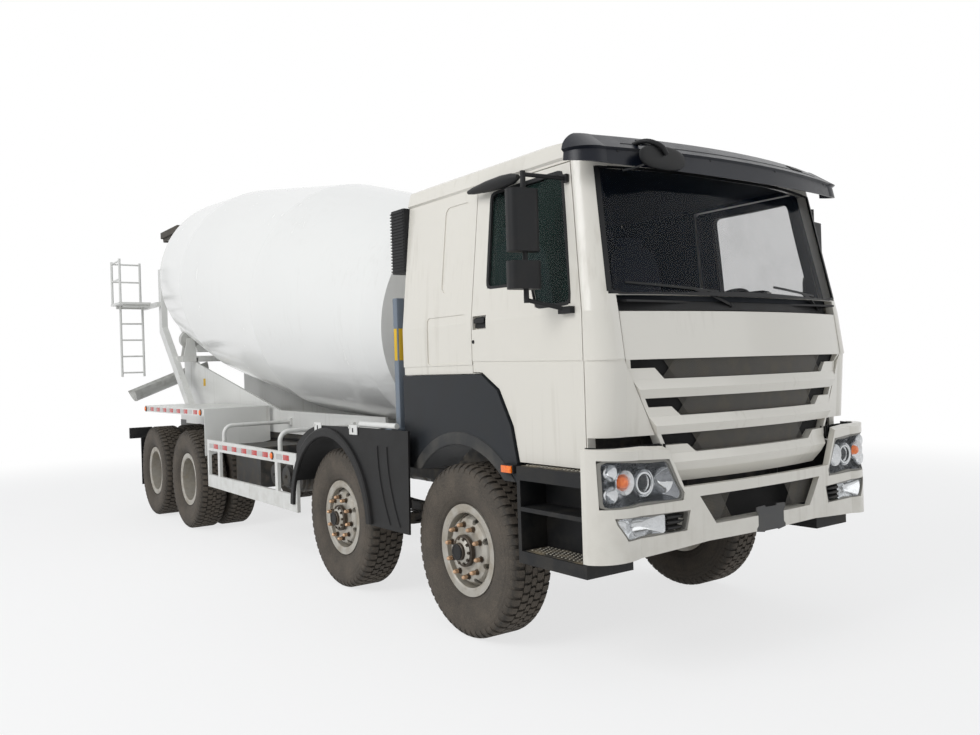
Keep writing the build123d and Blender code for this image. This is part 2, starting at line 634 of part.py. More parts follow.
# ---- mudguards, fenders, side guards -------------------------------------------------------------------------------------------
guard_radius = 665
guard_rear_x = axle_2_x - 612
flap_x = axle_4_x - 640
with BuildPart() as mudguards:
    for side in (1, -1):
        with BuildSketch(side_plane(half_width if side > 0 else -half_width + 14)) as skirt:
            with BuildLine():
                Polyline((axle_2_x + 1265, 604), (axle_2_x + 1290, 1325), (axle_2_x + 400, 1325),
                         (axle_2_x - 40, 1318))
                ThreePointArc((axle_2_x - 40, 1318), (axle_2_x - 380, 1262), (guard_rear_x, 1130))
                Polyline((guard_rear_x, 1130), (guard_rear_x, 604), (axle_2_x + 1265, 604))
            make_face()
            with Locations((axle_2_x, axle_z)):
                Circle(guard_radius, mode=Mode.SUBTRACT)
            with Locations((axle_2_x - 400, 500)):
                Rectangle(800, 500, mode=Mode.SUBTRACT)
        extrude(skirt.sketch, amount=14)
        with BuildSketch(side_plane(half_width - 10 if side > 0 else -860)) as liner:
            with Locations((axle_2_x, axle_z)):
                Circle(guard_radius + 12)
                Circle(guard_radius, mode=Mode.SUBTRACT)
            with Locations((axle_2_x, 0)):
                Rectangle(1800, 2 * (axle_z + 120), mode=Mode.SUBTRACT)
            with Locations((guard_rear_x - 200, axle_z)):
                Rectangle(400, 1600, mode=Mode.SUBTRACT)
        extrude(liner.sketch, amount=half_width - 10 - 860)
        # hanger: a post on the frame rail and an arm over the wheel
        low_y, high_y = sorted((side * (rail_outer_y + seat_gap), side * 900))
        block((axle_2_x - 30, low_y, 1232), (axle_2_x + 30, high_y, 1262))
        low_y, high_y = sorted((side * (rail_outer_y + seat_gap), side * (rail_outer_y + 20)))
        block((axle_2_x - 30, low_y, rail_top_z - 120), (axle_2_x + 30, high_y, 1250))
        # flap behind the last axle, on an arm from the frame rail
        low_y, high_y = sorted((side * 600, side * 1225))
        block((flap_x, low_y, 330), (flap_x + 12, high_y, 960))
        low_y, high_y = sorted((side * (rail_outer_y + seat_gap), side * 1100))
        block((flap_x - 30, low_y, 900), (flap_x, high_y, 940))
finish(mudguards, "mudguards")

fender_x = (ahead(-7250), ahead(-4860))
with BuildPart() as rear_fenders:
    for side in (1, -1):
        inner_y, outer_y = 500, half_width
        low, high = sorted((side * inner_y, side * outer_y))
        block((fender_x[0], low, 1380), (fender_x[1], high, 1392))
        edge_low, edge_high = sorted((side * (outer_y - 10), side * outer_y))
        block((fender_x[0], edge_low, 1315), (fender_x[1], edge_high, 1385))
        plate(cross_plane(fender_x[1] - 10), [
            (side * inner_y, 1385), (side * outer_y, 1385), (side * outer_y, 880), (side * inner_y, 1000)], 10)
        # clear of the pedestal's foot
        low, high = sorted((side * (side_plate_y - 20), side * (column_y + 50)))
        block((ahead(-7300), low, 1200), (ahead(-6890), high, 1500), mode=Mode.SUBTRACT)
        for x in (fender_x[0] + 500, fender_x[1] - 200):
            low, high = sorted((side * (side_plate_y + 0.3), side * 900))
            block((x - 25, low, 1330), (x + 25, high, 1380))
finish(rear_fenders, "rear_fenders")

guard_x = (ahead(-4790), ahead(-2430))
with BuildPart() as side_guards:
    for side in (1, -1):
        outer = side * half_width
        face_y = outer if side > 0 else outer + 30
        with BuildSketch(side_plane(face_y)) as frame_face:
            with BuildLine():
                Polyline((guard_x[0], 560), (guard_x[1], 540), (guard_x[1], 1050), (guard_x[0], 1065), close=True)
            make_face()
            windows = [(guard_x[0] + 45, ahead(-4460)), (ahead(-4400), ahead(-2910)), (ahead(-2850), guard_x[1] - 60)]
            for low_x, high_x in windows:
                with Locations(((low_x + high_x) / 2, 820)):
                    Rectangle(high_x - low_x, 260, mode=Mode.SUBTRACT)
        extrude(frame_face.sketch, amount=30)
        for x in (ahead(-4370), ahead(-2880)):
            bent_tube([(x, side * (half_width - 45), 960), (x, side * (half_width - 45), 1225),
                       (x, side * (side_plate_y + 14), 1225)], 90, 21)
            block((x - 40, min(side * (side_plate_y + 0.3), side * (side_plate_y + 24)), 1185),
                  (x + 40, max(side * (side_plate_y + 0.3), side * (side_plate_y + 24)), 1265))
finish(side_guards, "side_guards")

# ---- bumper, lamps and step boxes --------------------------------------------------------------------------------------------------
bumper_bow = 60
bumper_corner_y = 985
bumper_side_x = ahead(1262)


def bumper_body(inset, low_z, high_z, rear_x, mode=Mode.ADD):
    """The bumper's plan shape, bowed across the front with round corners, between two heights."""
    front = ahead(front_overhang) - inset
    side_y = half_width - inset
    corner_x = front - bumper_bow - 10
    corner_y = bumper_corner_y - inset * 0.4
    with BuildSketch(level_plane(low_z)) as plan:
        with BuildLine():
            ThreePointArc((corner_x, corner_y), (front, 0), (corner_x, -corner_y))
            ThreePointArc((corner_x, -corner_y), (corner_x - 42, -(side_y - 58)), (ahead(1300), -side_y))
            Polyline((ahead(1300), -side_y), (rear_x, -side_y), (rear_x, side_y), (ahead(1300), side_y))
            ThreePointArc((ahead(1300), side_y), (corner_x - 42, side_y - 58), (corner_x, corner_y))
        make_face()
    extrude(plan.sketch, amount=high_z - low_z, mode=mode)


def grille_edge_y(z):
    """Half width of the grille's slanting edge at a height."""
    return 665 + (z - lid_bottom_z) * (1000 - 665) / (lid_split_z - lid_bottom_z)


bumper_top_z = 1300
bumper_skin = 38
headlamp_outline = [(1212, 985), (1218, 1242), (772, 1222), (704, 1080), (672, 1030), (680, 990)]
fog_outline = [(1140, 905), (1150, 938), (632, 930), (660, 822), (1080, 815)]


def shrunk(outline, gap):
    """An outline drawn in a little, towards its own middle."""
    mid_y = sum(y for y, _ in outline) / len(outline)
    mid_z = sum(z for _, z in outline) / len(outline)
    return [(y - gap * (y - mid_y) / abs(y - mid_y), z - gap * (z - mid_z) / abs(z - mid_z)) for y, z in outline]


with BuildPart() as bumper:
    bumper_body(0, 680, bumper_top_z, bumper_side_x)
    bumper_body(bumper_skin, 600, bumper_top_z + 50, bumper_side_x - 100, mode=Mode.SUBTRACT)
    notch = grille_edge_y(bumper_top_z) + 16
    plate(cross_plane(ahead(1200)), [
        (-notch, bumper_top_z + 10), (notch, bumper_top_z + 10), (notch, bumper_top_z),
        (grille_edge_y(1060) + 16, 1060), (-grille_edge_y(1060) - 16, 1060), (-notch, bumper_top_z)],
        400, mode=Mode.SUBTRACT)
    plate(cross_plane(ahead(1200)), [(-560, 1000), (560, 1000), (440, 835), (-440, 835)], 400, mode=Mode.SUBTRACT)
    plate(cross_plane(ahead(1200)), [
        (-1300, 600), (1300, 600), (1300, 690), (500, 745), (-500, 745), (-1300, 690)], 400, mode=Mode.SUBTRACT)
    for side in (1, -1):
        for outline in (headlamp_outline, fog_outline):
            plate(cross_plane(ahead(1290)), [(side * y, z) for y, z in outline], 300, mode=Mode.SUBTRACT)
        plate(side_plane(1300), [
            (ahead(1395), bumper_top_z + 1), (ahead(1520), bumper_top_z + 1), (ahead(1520), 1246)],
            2600, mode=Mode.SUBTRACT)
        # bracket from the frame rail's end
        low, high = sorted((side * (rail_outer_y - 60), side * rail_outer_y))
        block((ahead(1180), low, 790), (ahead(1470), high, rail_bottom_z - seat_gap))
finish(bumper, "bumper")

with BuildPart() as lamps:
    for side in (1, -1):
        for outline, depth in ((headlamp_outline, 110), (fog_outline, 90)):
            with BuildPart(mode=Mode.PRIVATE) as unit:
                bumper_body(5, 700, bumper_top_z, ahead(1250))
                bumper_body(depth, 650, bumper_top_z + 50, ahead(1200), mode=Mode.SUBTRACT)
                with BuildSketch(cross_plane(ahead(1295))) as window:
                    with BuildLine():
                        Polyline(*[(side * y, z) for y, z in shrunk(outline, 1.0)], close=True)
                    make_face()
                extrude(window.sketch, amount=300, mode=Mode.INTERSECT)
            add(unit.part)
        tail_x = ahead(-8330)
        low, high = sorted((side * 880, side * 1200))
        block((tail_x, low, 900), (tail_x + 60, high, 1060))
        low, high = sorted((side * (rail_outer_y + seat_gap), side * 900))
        block((tail_x + 10, low, 960), (tail_x + 50, high, 1000))
finish(lamps, "lamps")

step_x = (ahead(655), ahead(1245))
step_top_z = 1165
with BuildPart() as step_boxes:
    for side in (1, -1):
        low, high = sorted((side * 860, side * 1205))
        block((step_x[0], low, 600), (step_x[1], high, step_top_z))
        low, high = sorted((side * 1010, side * 1300))
        block((step_x[0] + 30, low, 672), (step_x[1] - 30, high, 905), mode=Mode.SUBTRACT)
        block((step_x[0] + 30, low, 930), (step_x[1] - 30, high, 1085), mode=Mode.SUBTRACT)
        low, high = sorted((side * 890, side * 1170))
        block((step_x[0] + 20, low, 500), (step_x[1] - 20, high, 640), mode=Mode.SUBTRACT)
        low, high = sorted((side * rail_outer_y, side * 870))
        block((step_x[0] + 60, low, 880), (step_x[0] + 120, high, 960))
        block((step_x[1] - 160, low, 880), (step_x[1] - 100, high, 960))
finish(step_boxes, "step_boxes")

# ---- cab ---------------------------------------------------------------------------------------------------------------------------------
cab_sections = [                        # height, half width, front at the middle (ahead)
    (1060, cab_half_width, 1440),
    (lid_split_z, cab_half_width, 1490),
    (belt_z, cab_half_width, 1452),
    (2905, 1059, 1294),
    (2918, 1074, 1306),
    (3012, 1048, 1170),
    (3078, 890, 905),
]
grille_bars = [                         # bottom, crease, top at the middle, top at the ends
    (1146, 1195, 1242, 1290),
    (1352, 1400, 1450, 1502),
    (1552, 1602, 1656, 1718),
]
lid_sections = [(1060, cab_half_width, 1402)]
for bar_low, bar_crease, bar_top, bar_end in grille_bars:
    lid_sections += [(bar_low, cab_half_width, 1466), (bar_crease, cab_half_width, 1488),
                     (bar_top, cab_half_width, 1464), (bar_end, cab_half_width, 1462)]
lid_sections += [(lid_split_z - 8, cab_half_width, 1489), (belt_z, cab_half_width, 1452)]
cab_bow = 120
crease_z = 1768
driver_y = 560
seat_base_z = 1960
cab_corner = (165, 130)                 # corner's size across and along


def cab_body(inset, sections=cab_sections):
    """The cab's outside drawn in by an inset: a ruled loft of bowed, round-cornered plans."""
    plans = []
    for z, half, front in sections:
        level = z - (inset if z == cab_sections[-1][0] else 0)
        half_y = half - inset
        nose = ahead(front) - inset
        corner_x = nose - cab_bow
        corner_y = half_y - cab_corner[0]
        side_x = corner_x - cab_corner[1]
        rear_x = ahead(cab_rear_ahead) + inset
        bulge_x = side_x + cab_corner[1] * 0.72
        bulge_y = corner_y + cab_corner[0] * 0.70
        with BuildSketch(level_plane(level)) as plan:
            with BuildLine():
                ThreePointArc((corner_x, corner_y), (nose, 0), (corner_x, -corner_y))
                ThreePointArc((corner_x, -corner_y), (bulge_x, -bulge_y), (side_x, -half_y))
                Line((side_x, -half_y), (rear_x, -half_y))
                Line((rear_x, -half_y), (rear_x, half_y))
                Line((rear_x, half_y), (side_x, half_y))
                ThreePointArc((side_x, half_y), (bulge_x, bulge_y), (corner_x, corner_y))
            make_face()
        plans.append(plan.sketch)
    return loft(plans, ruled=True, mode=Mode.PRIVATE)


def prism(plane, outline, depth):
    """A straight prism on a plane, kept apart from the part that is being made."""
    with BuildPart(mode=Mode.PRIVATE) as solid:
        plate(plane, outline, depth)
    return solid.part


outside = cab_body(0)
inside = cab_body(cab_wall)
walls = outside - inside

door_front = ahead(1208)
door_rear = ahead(155)
door_lower_edge = [(ahead(1208), 1175), (ahead(612), 1175), (ahead(560), 1390), (ahead(430), 1610),
                   (ahead(255), 1712), (door_rear, 1716)]
door_outline = [*door_lower_edge, (door_rear, 2892), (ahead(1052), 2892), (door_front, belt_z)]
window_outline = [(ahead(1112), 2085), (ahead(800), 2085), (ahead(745), 2235), (ahead(312), 2240),
                  (ahead(305), 2838), (ahead(985), 2846)]
windscreen_outline = [(-1045, 2125), (1045, 2125), (985, 2850), (-985, 2850)]
lid_outline = [(-1000, belt_z), (1000, belt_z), (1000, lid_split_z), (grille_edge_y(lid_bottom_z), lid_bottom_z),
               (-grille_edge_y(lid_bottom_z), lid_bottom_z), (-1000, lid_split_z)]


def drawn_in(outline, gap):
    """A convex outline moved in by a gap on every side."""
    with BuildSketch(mode=Mode.PRIVATE) as whole:
        with BuildLine():
            Polyline(*outline, close=True)
        make_face()
        offset(amount=-gap, kind=Kind.INTERSECTION, mode=Mode.REPLACE)
    return whole.sketch


def on_plane(plane, sketch, depth):
    """A flat sketch set on a plane and given a depth, kept apart."""
    with BuildPart(mode=Mode.PRIVATE) as solid:
        extrude(plane * sketch, amount=depth)
    return solid.part


front_plane = cross_plane(ahead(1000))
lid_space = prism(cross_plane(ahead(1230)), lid_outline, 400)
screen_space = prism(front_plane, windscreen_outline, 600)
door_spaces = {1: prism(side_plane(1300), door_outline, 600), -1: prism(side_plane(-700), door_outline, 600)}

floor_slab = inside & prism(side_plane(1300), [
    (ahead(-800), cab_floor_z), (ahead(1225), cab_floor_z), (ahead(1225), cab_floor_z + cab_floor),
    (ahead(-800), cab_floor_z + cab_floor)], 2600)
for start_y in (1300, -1094):
    floor_slab = floor_slab - prism(side_plane(start_y), [
        (door_rear, 1600), (door_front, 1600), (door_front, 1800), (door_rear, 1800)], 206)
bulkhead = inside & prism(side_plane(1300), [
    (ahead(1212), cab_floor_z), (ahead(1232), cab_floor_z), (ahead(1232), belt_z + 60),
    (ahead(1212), belt_z + 60)], 2600)
with BuildPart() as cab_shell:
    add(walls)
    for side in (1, -1):
        add(door_spaces[side], mode=Mode.SUBTRACT)
    add(lid_space, mode=Mode.SUBTRACT)
    add(screen_space, mode=Mode.SUBTRACT)
    # under the doors, behind them, and in front of them down to the bumper
    plate(side_plane(1300), [
        (ahead(-900), 1000), (ahead(-900), 1712), (ahead(255), 1712), (ahead(430), 1610), (ahead(560), 1390),
        (ahead(612), 1175), (ahead(1214), 1175), (ahead(1214), 1350), (ahead(1600), 1350), (ahead(1600), 1000)],
        2600, mode=Mode.SUBTRACT)
    # strip for the wiper cowl, set back under the windscreen
    plate(cross_plane(ahead(1230)), [(-1000, belt_z - 1), (1000, belt_z - 1), (1000, 2120), (-1000, 2120)],
          400, mode=Mode.SUBTRACT)
    # stamped panels behind the doors, and the lower body set back under the belt crease
    for start_y in (1300, -700):
        for low_x, high_x, low_z, high_z, corner in (
                (-215, 85, 2250, 2830, 55), (-375, 85, 1775, 2095, 25)):
            with BuildSketch(side_plane(start_y)) as stamped:
                with Locations((ahead((low_x + high_x) / 2), (low_z + high_z) / 2)):
                    RectangleRounded(high_x - low_x, high_z - low_z, corner)
            with BuildPart(mode=Mode.PRIVATE) as panel:
                extrude(stamped.sketch, amount=600)
            add((outside - cab_body(6)) & panel.part, mode=Mode.SUBTRACT)
    add((outside - cab_body(5)) & prism(side_plane(1300), [
        (ahead(-900), 1000), (ahead(1600), 1000), (ahead(1600), crease_z), (ahead(-900), crease_z)], 2600),
        mode=Mode.SUBTRACT)
    add(floor_slab)
    add(bulkhead)
    for y in (driver_y, -driver_y):
        block((ahead(110), y - 190, cab_floor_z + cab_floor - 5), (ahead(500), y + 190, seat_base_z))
finish(cab_shell, "cab_shell")

with BuildPart() as windscreen:
    add((cab_body(10) - cab_body(10 + glass_thickness)) & on_plane(
        front_plane, drawn_in(windscreen_outline, 1), 600))
finish(windscreen, "windscreen")

with BuildPart() as wiper_cowl:
    add((cab_body(cab_wall + 8) - cab_body(cab_wall + 20)) & prism(
        cross_plane(ahead(1236)), [(-990, belt_z + 4), (990, belt_z + 4), (990, 2124), (-990, 2124)], 400))
    block((ahead(1232), -960, 2080), (ahead(1360), 960, 2092))
finish(wiper_cowl, "wiper_cowl")

slot_depth = 36
slot_floor = cab_body(slot_depth + 8)
with BuildPart() as front_lid:
    add((cab_body(0, lid_sections) - inside) & on_plane(
        cross_plane(ahead(1236)), drawn_in(lid_outline, panel_gap), 400))
    # a slot above each bar, deeper in the middle
    slot_tops = [bar_low for bar_low, _, _, _ in grille_bars[1:]] + [lid_split_z - 10]
    for (_, _, bar_top, bar_end), slot_top in zip(grille_bars, slot_tops):
        top_y, end_y = grille_edge_y(slot_top) - 32, grille_edge_y(bar_end) - 32
        middle_y = end_y - 150
        slot = prism(cross_plane(ahead(1236)), [
            (-top_y, slot_top), (top_y, slot_top), (end_y, bar_end), (middle_y, bar_end),
            (middle_y - 60, bar_top), (60 - middle_y, bar_top), (-middle_y, bar_end), (-end_y, bar_end)], 400)
        add(slot - slot_floor, mode=Mode.SUBTRACT)
finish(front_lid, "front_lid")

for side_name, side in (("left", 1), ("right", -1)):
    start_y = 1300 if side > 0 else -700
    opening = prism(side_plane(start_y), window_outline, 600)
    with BuildPart() as door:
        add(walls & on_plane(side_plane(start_y), drawn_in(door_outline, panel_gap), 600))
        add(opening, mode=Mode.SUBTRACT)
        add((outside - cab_body(5)) & prism(side_plane(start_y), [
            (ahead(0), 1000), (ahead(1300), 1000), (ahead(1300), crease_z), (ahead(0), crease_z + 25)], 600),
            mode=Mode.SUBTRACT)
        # pocket for the handle
        add((outside - cab_body(26)) & prism(side_plane(start_y), [
            (ahead(172), 1990), (ahead(315), 1990), (ahead(315), 2075), (ahead(172), 2075)], 600),
            mode=Mode.SUBTRACT)
    finish(door, f"door_{side_name}")
    with BuildPart() as glass:
        add((cab_body(14) - cab_body(14 + glass_thickness)) & on_plane(
            side_plane(start_y), drawn_in(window_outline, 0.5), 600))
    finish(glass, f"door_glass_{side_name}")

    with BuildPart() as mirrors:
        for low_z, high_z, width in ((2378, 2722, 185), (2172, 2326, 195)):
            with BuildSketch(level_plane(low_z)) as housing:
                with Locations(Location((ahead(955), side * 1340, 0), (0, 0, side * 12))):
                    RectangleRounded(96, width, 40)
            extrude(housing.sketch, amount=high_z - low_z)
        rod((ahead(965), side * 1335, 2096), (ahead(965), side * 1335, 2822), 15)
        rod((ahead(965), side * 1335, 2803), (ahead(1030), side * 1080, 2793), 12)
        rod((ahead(965), side * 1335, 2112), (ahead(1090), side * 1162, 2054), 12)
        low, high = sorted((side * 1150.5, side * 1185))
        block((ahead(1050), low, 2030), (ahead(1150), high, 2068))
        low, high = sorted((side * 1073.8, side * 1095))
        block((ahead(1010), low, 2770), (ahead(1050), high, 2815))
    finish(mirrors, f"mirrors_{side_name}")

with BuildPart() as sun_visor:
    shade = (cab_body(-124) - cab_body(-112)) & prism(side_plane(1400), [
        (ahead(1135), 3020), (ahead(1700), 3020), (ahead(1700), 2760), (ahead(1135), 2860)], 2800)
    add(shade)
    top = (cab_body(-124) - cab_body(-0.5)) & prism(side_plane(1400), [
        (ahead(1135), 3020), (ahead(1700), 3020), (ahead(1700), 3008), (ahead(1135), 3008)], 2800)
    add(top)
finish(sun_visor, "sun_visor")

wheel_centre = Vector(ahead(740), driver_y, 2080)
column_line = Vector(cos(radians(52)), 0, -sin(radians(52)))
with BuildPart() as dashboard:
    plate(side_plane(1020), [
        (ahead(1212), 1760), (ahead(1212), 2050), (ahead(1130), 2085), (ahead(960), 2070), (ahead(890), 1960),
        (ahead(930), 1760)], 2040)
    rod(wheel_centre, wheel_centre + column_line * 330, 28 + seat_gap, mode=Mode.SUBTRACT)
finish(dashboard, "dashboard")

with BuildPart() as steering_wheel:
    wheel_plane = Plane(origin=wheel_centre, x_dir=(0, 1, 0), z_dir=column_line)
    with BuildSketch(Plane(origin=wheel_centre, x_dir=(0, 1, 0), z_dir=wheel_plane.y_dir)) as grip:
        with Locations((225, 0)):
            Circle(15)
    revolve(grip.sketch, axis=Axis(wheel_centre, column_line))
    rod(wheel_centre, wheel_centre + column_line * 300, 28)
    hub = wheel_centre + column_line * 25
    for angle in (35, 145, 215, 325):
        spoke_end = wheel_centre + (wheel_plane.x_dir * cos(radians(angle)) + wheel_plane.y_dir * sin(radians(angle))) * 224
        rod(hub, spoke_end, 10)
finish(steering_wheel, "steering_wheel")

with BuildPart() as seats:
    for y in (driver_y, -driver_y):
        with BuildSketch(level_plane(seat_base_z + seat_gap)) as cushion:
            with Locations((ahead(310), y)):
                RectangleRounded(500, 480, 60)
        extrude(cushion.sketch, amount=130)
        with BuildSketch(side_plane(y + 240)) as back:
            with BuildLine():
                Polyline((ahead(60), 2020), (ahead(-60), 2020), (ahead(-160), 2700), (ahead(-80), 2720),
                         (ahead(60), 2100), close=True)
            make_face()
        extrude(back.sketch, amount=480)
finish(seats, "seats")

arch_radius = 690
with BuildPart() as wheel_arches:
    for side in (1, -1):
        with BuildSketch(side_plane(1160 if side > 0 else -1104.3)) as arch:
            with BuildLine():
                Polyline((ahead(-694), 1240), (ahead(-694), 1706), (ahead(255), 1706), (ahead(424), 1605),
                         (ahead(553), 1388), (ahead(604), 1180), (ahead(604), 1060), (ahead(-694), 1060), close=True)
            make_face()
            with Locations((axle_1_x, axle_z)):
                Circle(arch_radius, mode=Mode.SUBTRACT)
        extrude(arch.sketch, amount=55.7)
        with BuildSketch(side_plane(1110 if side > 0 else -860)) as liner:
            with Locations((axle_1_x, axle_z)):
                Circle(arch_radius + 12)
                Circle(arch_radius, mode=Mode.SUBTRACT)
            with Locations((axle_1_x, 400)):
                Rectangle(1800, 2 * (1060 - 400), mode=Mode.SUBTRACT)
        extrude(liner.sketch, amount=250)
        for x in (ahead(-420), ahead(300)):
            low, high = sorted((side * 1050, side * 1110))
            block((x - 15, low, 1150), (x + 15, high, cab_floor_z - seat_gap))
finish(wheel_arches, "wheel_arches")
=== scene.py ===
import json
import math
import bmesh
import bpy
import numpy as np
from mathutils import Matrix, Vector


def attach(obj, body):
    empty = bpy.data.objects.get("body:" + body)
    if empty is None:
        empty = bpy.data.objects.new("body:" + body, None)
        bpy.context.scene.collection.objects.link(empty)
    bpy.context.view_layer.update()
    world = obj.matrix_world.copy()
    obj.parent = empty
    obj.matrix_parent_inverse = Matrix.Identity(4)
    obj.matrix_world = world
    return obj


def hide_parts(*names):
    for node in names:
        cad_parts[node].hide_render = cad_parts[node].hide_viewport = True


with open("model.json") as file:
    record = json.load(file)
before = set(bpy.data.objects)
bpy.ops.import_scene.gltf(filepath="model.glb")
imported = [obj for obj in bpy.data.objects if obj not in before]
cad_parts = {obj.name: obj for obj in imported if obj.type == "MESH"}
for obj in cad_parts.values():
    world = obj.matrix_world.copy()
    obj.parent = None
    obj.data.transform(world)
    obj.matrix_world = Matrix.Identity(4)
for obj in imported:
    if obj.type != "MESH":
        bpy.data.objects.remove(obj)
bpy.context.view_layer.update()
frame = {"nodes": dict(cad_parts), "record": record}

cadNodes = frame["nodes"]
print("frame loaded:", len(cadNodes), "nodes")

truckSizes = {
    "axleX": {"front": 3.75, "second": 1.95, "third": -1.85, "fourth": -3.2},
    "axleZ": 0.5625,  # height of every wheel's middle
    "guardY": 1.245,  # outer face of the guards and fenders
}
axleX, axleZ = truckSizes["axleX"], truckSizes["axleZ"]
guardY = truckSizes["guardY"]


# one output socket; arithmetic on it adds Math nodes
class Wire:
    def __init__(self, finish, socket):
        self.finish, self.socket = finish, socket

    # this value first, the others after it
    def math(self, operation, *others, clamp=False):
        values = dict(enumerate([self, *others]))
        return self.finish.add("Math", {"operation": operation, "use_clamp": clamp}, values)

    # the other value first, this one second
    def flipped(self, operation, first):
        return self.finish.add("Math", {"operation": operation}, {0: first, 1: self})

    def __add__(self, other): return self.math("ADD", other)
    def __radd__(self, other): return self.math("ADD", other)
    def __sub__(self, other): return self.math("SUBTRACT", other)
    def __rsub__(self, other): return self.flipped("SUBTRACT", other)
    def __mul__(self, other): return self.math("MULTIPLY", other)
    def __rmul__(self, other): return self.math("MULTIPLY", other)

    # held between 0 and 1
    def clipped(self):
        return self.math("ADD", 0.0, clamp=True)

    # rises smoothly from 0 at low to 1 at high
    def rise(self, low, high):
        settings = {"interpolation_type": "SMOOTHSTEP"}
        return self.finish.add("MapRange", settings, {"Value": self, "From Min": low, "From Max": high})


# one material on the Principled shader, written as expressions
class Finish:
    def __init__(self, name, **surface):
        self.material = bpy.data.materials.new(name)
        self.material.use_nodes = True
        self.tree = self.material.node_tree
        self.tree.nodes.clear()
        self.shader = self.tree.nodes.new("ShaderNodeBsdfPrincipled")
        self.output = self.tree.nodes.new("ShaderNodeOutputMaterial")
        self.tree.links.new(self.shader.outputs[0], self.output.inputs[0])
        self.set(**surface)
        self.places = {}

    # inputs of the Principled shader, with _ for the spaces in their names
    def set(self, **surface):
        for key, value in surface.items():
            self.feed(self.shader, key.replace("_", " "), value)

    # an input takes a link or a value; a colour of three gets an opacity of 1
    def feed(self, node, key, value):
        socket = node.inputs[key]
        if isinstance(value, Wire):
            self.tree.links.new(value.socket, socket)
        elif isinstance(value, tuple) and len(value) == 3 and socket.type == "RGBA":
            socket.default_value = (*value, 1)
        else:
            socket.default_value = value

    # any node: its type, its settings, the values or links of its inputs
    def add(self, kind, settings=None, inputs=None, output=0):
        node = self.tree.nodes.new("ShaderNode" + kind)
        for key, value in (settings or {}).items():
            setattr(node, key, value)
        for key, value in (inputs or {}).items():
            self.feed(node, key, value)
        return Wire(self, node.outputs[output])

    # object coordinates, stretched by a scale along each axis
    def place(self, scale=(1, 1, 1)):
        if scale not in self.places:
            if "object" not in self.places:
                self.places["object"] = self.add("TexCoord", output="Object")
            self.places[scale] = self.add("Mapping", None, {"Vector": self.places["object"], "Scale": scale})
        return self.places[scale]

    # cloudy pattern whose spots are about size metres across
    def noise(self, size, detail=3.0, scale=(1, 1, 1)):
        return self.add("TexNoise", None, {
            "Vector": self.place(scale), "Scale": 1 / size, "Detail": detail, "Roughness": 0.55})

    # distance to the middle of cells about size metres across
    def cells(self, size, scale=(1, 1, 1)):
        return self.add("TexVoronoi", None, {"Vector": self.place(scale), "Scale": 1 / size})

    # one object coordinate in metres
    def axis(self, index):
        return self.add("SeparateXYZ", None, {0: self.place()}, output=index)

    # colour = first * (1 - factor) + second * factor
    def mix(self, factor, first, second):
        return self.add("Mix", {"data_type": "RGBA"}, {0: factor, 6: first, 7: second}, output=2)

    # normal tilted by the slope of a height, depth metres high at 1
    def bump(self, height, depth, strength):
        return self.add("Bump", None, {"Height": height, "Distance": depth, "Strength": strength})


# screen levels out of 255 as linear light: v / 12.92 near black, ((v + 0.055) / 1.055) ^ 2.4 above it
def tone(*levels):
    shares = [level / 255 for level in levels]
    return tuple(v / 12.92 if v <= 0.04045 else ((v + 0.055) / 1.055) ** 2.4 for v in shares)


# paint: body colour, wide soft shading, rain streaks down the walls, road dust low down, orange peel
def paint(name, body, dirt, streaks, dust, dustTop, gloss=0.28, coat=0.4):
    f = Finish(name, Coat_Roughness=0.08)
    cloud = f.noise(0.9, 4)
    run = f.noise(0.045, 3, (1, 1, 0.035)).rise(0.5, 0.74) * f.noise(0.5, 2).rise(0.42, 0.62)
    low = 1 - f.axis(2).rise(0.35, dustTop)
    grime = (low * f.noise(0.12, 5).rise(0.35, 0.75) * dust + run * streaks).clipped()
    shade = f.mix(cloud.rise(0.35, 0.7) * 0.05, body, tuple(0.72 * c for c in body))
    f.set(Base_Color=f.mix(grime, shade, dirt), Roughness=(gloss + grime * 0.5 + cloud * 0.06).clipped(),
          Coat_Weight=(coat - grime * coat).clipped(),
          Normal=f.bump(f.noise(0.0022, 2) * 0.12 + f.noise(0.35, 2) * 0.9, 0.0008, 0.35))
    return f.material


# moulded plastic: fine grain, dusty film that gathers in patches
def plastic(name, body, film, grain=0.0011, rough=0.5, amount=0.35, top=1.5):
    f = Finish(name, Specular_IOR_Level=0.28)
    patch = f.noise(0.16, 5).rise(0.38, 0.72)
    low = 1 - f.axis(2).rise(0.4, top)
    veil = (patch * (amount * 0.35 + low * amount)).clipped()
    f.set(Base_Color=f.mix(veil, body, film), Roughness=(rough + veil * 0.35 + patch * 0.05).clipped(),
          Normal=f.bump(f.cells(grain) + f.noise(0.004, 2) * 0.6, 0.0004, 0.35))
    return f.material


# bare or blackened metal: cast grain, oily dark and dusty pale patches
def metal(name, body, film, metallic=0.6, rough=0.45, amount=0.4, grain=0.003):
    f = Finish(name)
    patch = f.noise(0.11, 6).rise(0.4, 0.7)
    spot = f.noise(0.02, 4).rise(0.55, 0.75)
    veil = (patch * amount + spot * 0.12).clipped()
    f.set(Base_Color=f.mix(veil, body, film), Metallic=(metallic - veil * metallic * 0.8).clipped(),
          Roughness=(rough + veil * 0.4).clipped(), Normal=f.bump(f.noise(grain, 4), 0.0008, 0.4))
    return f.material


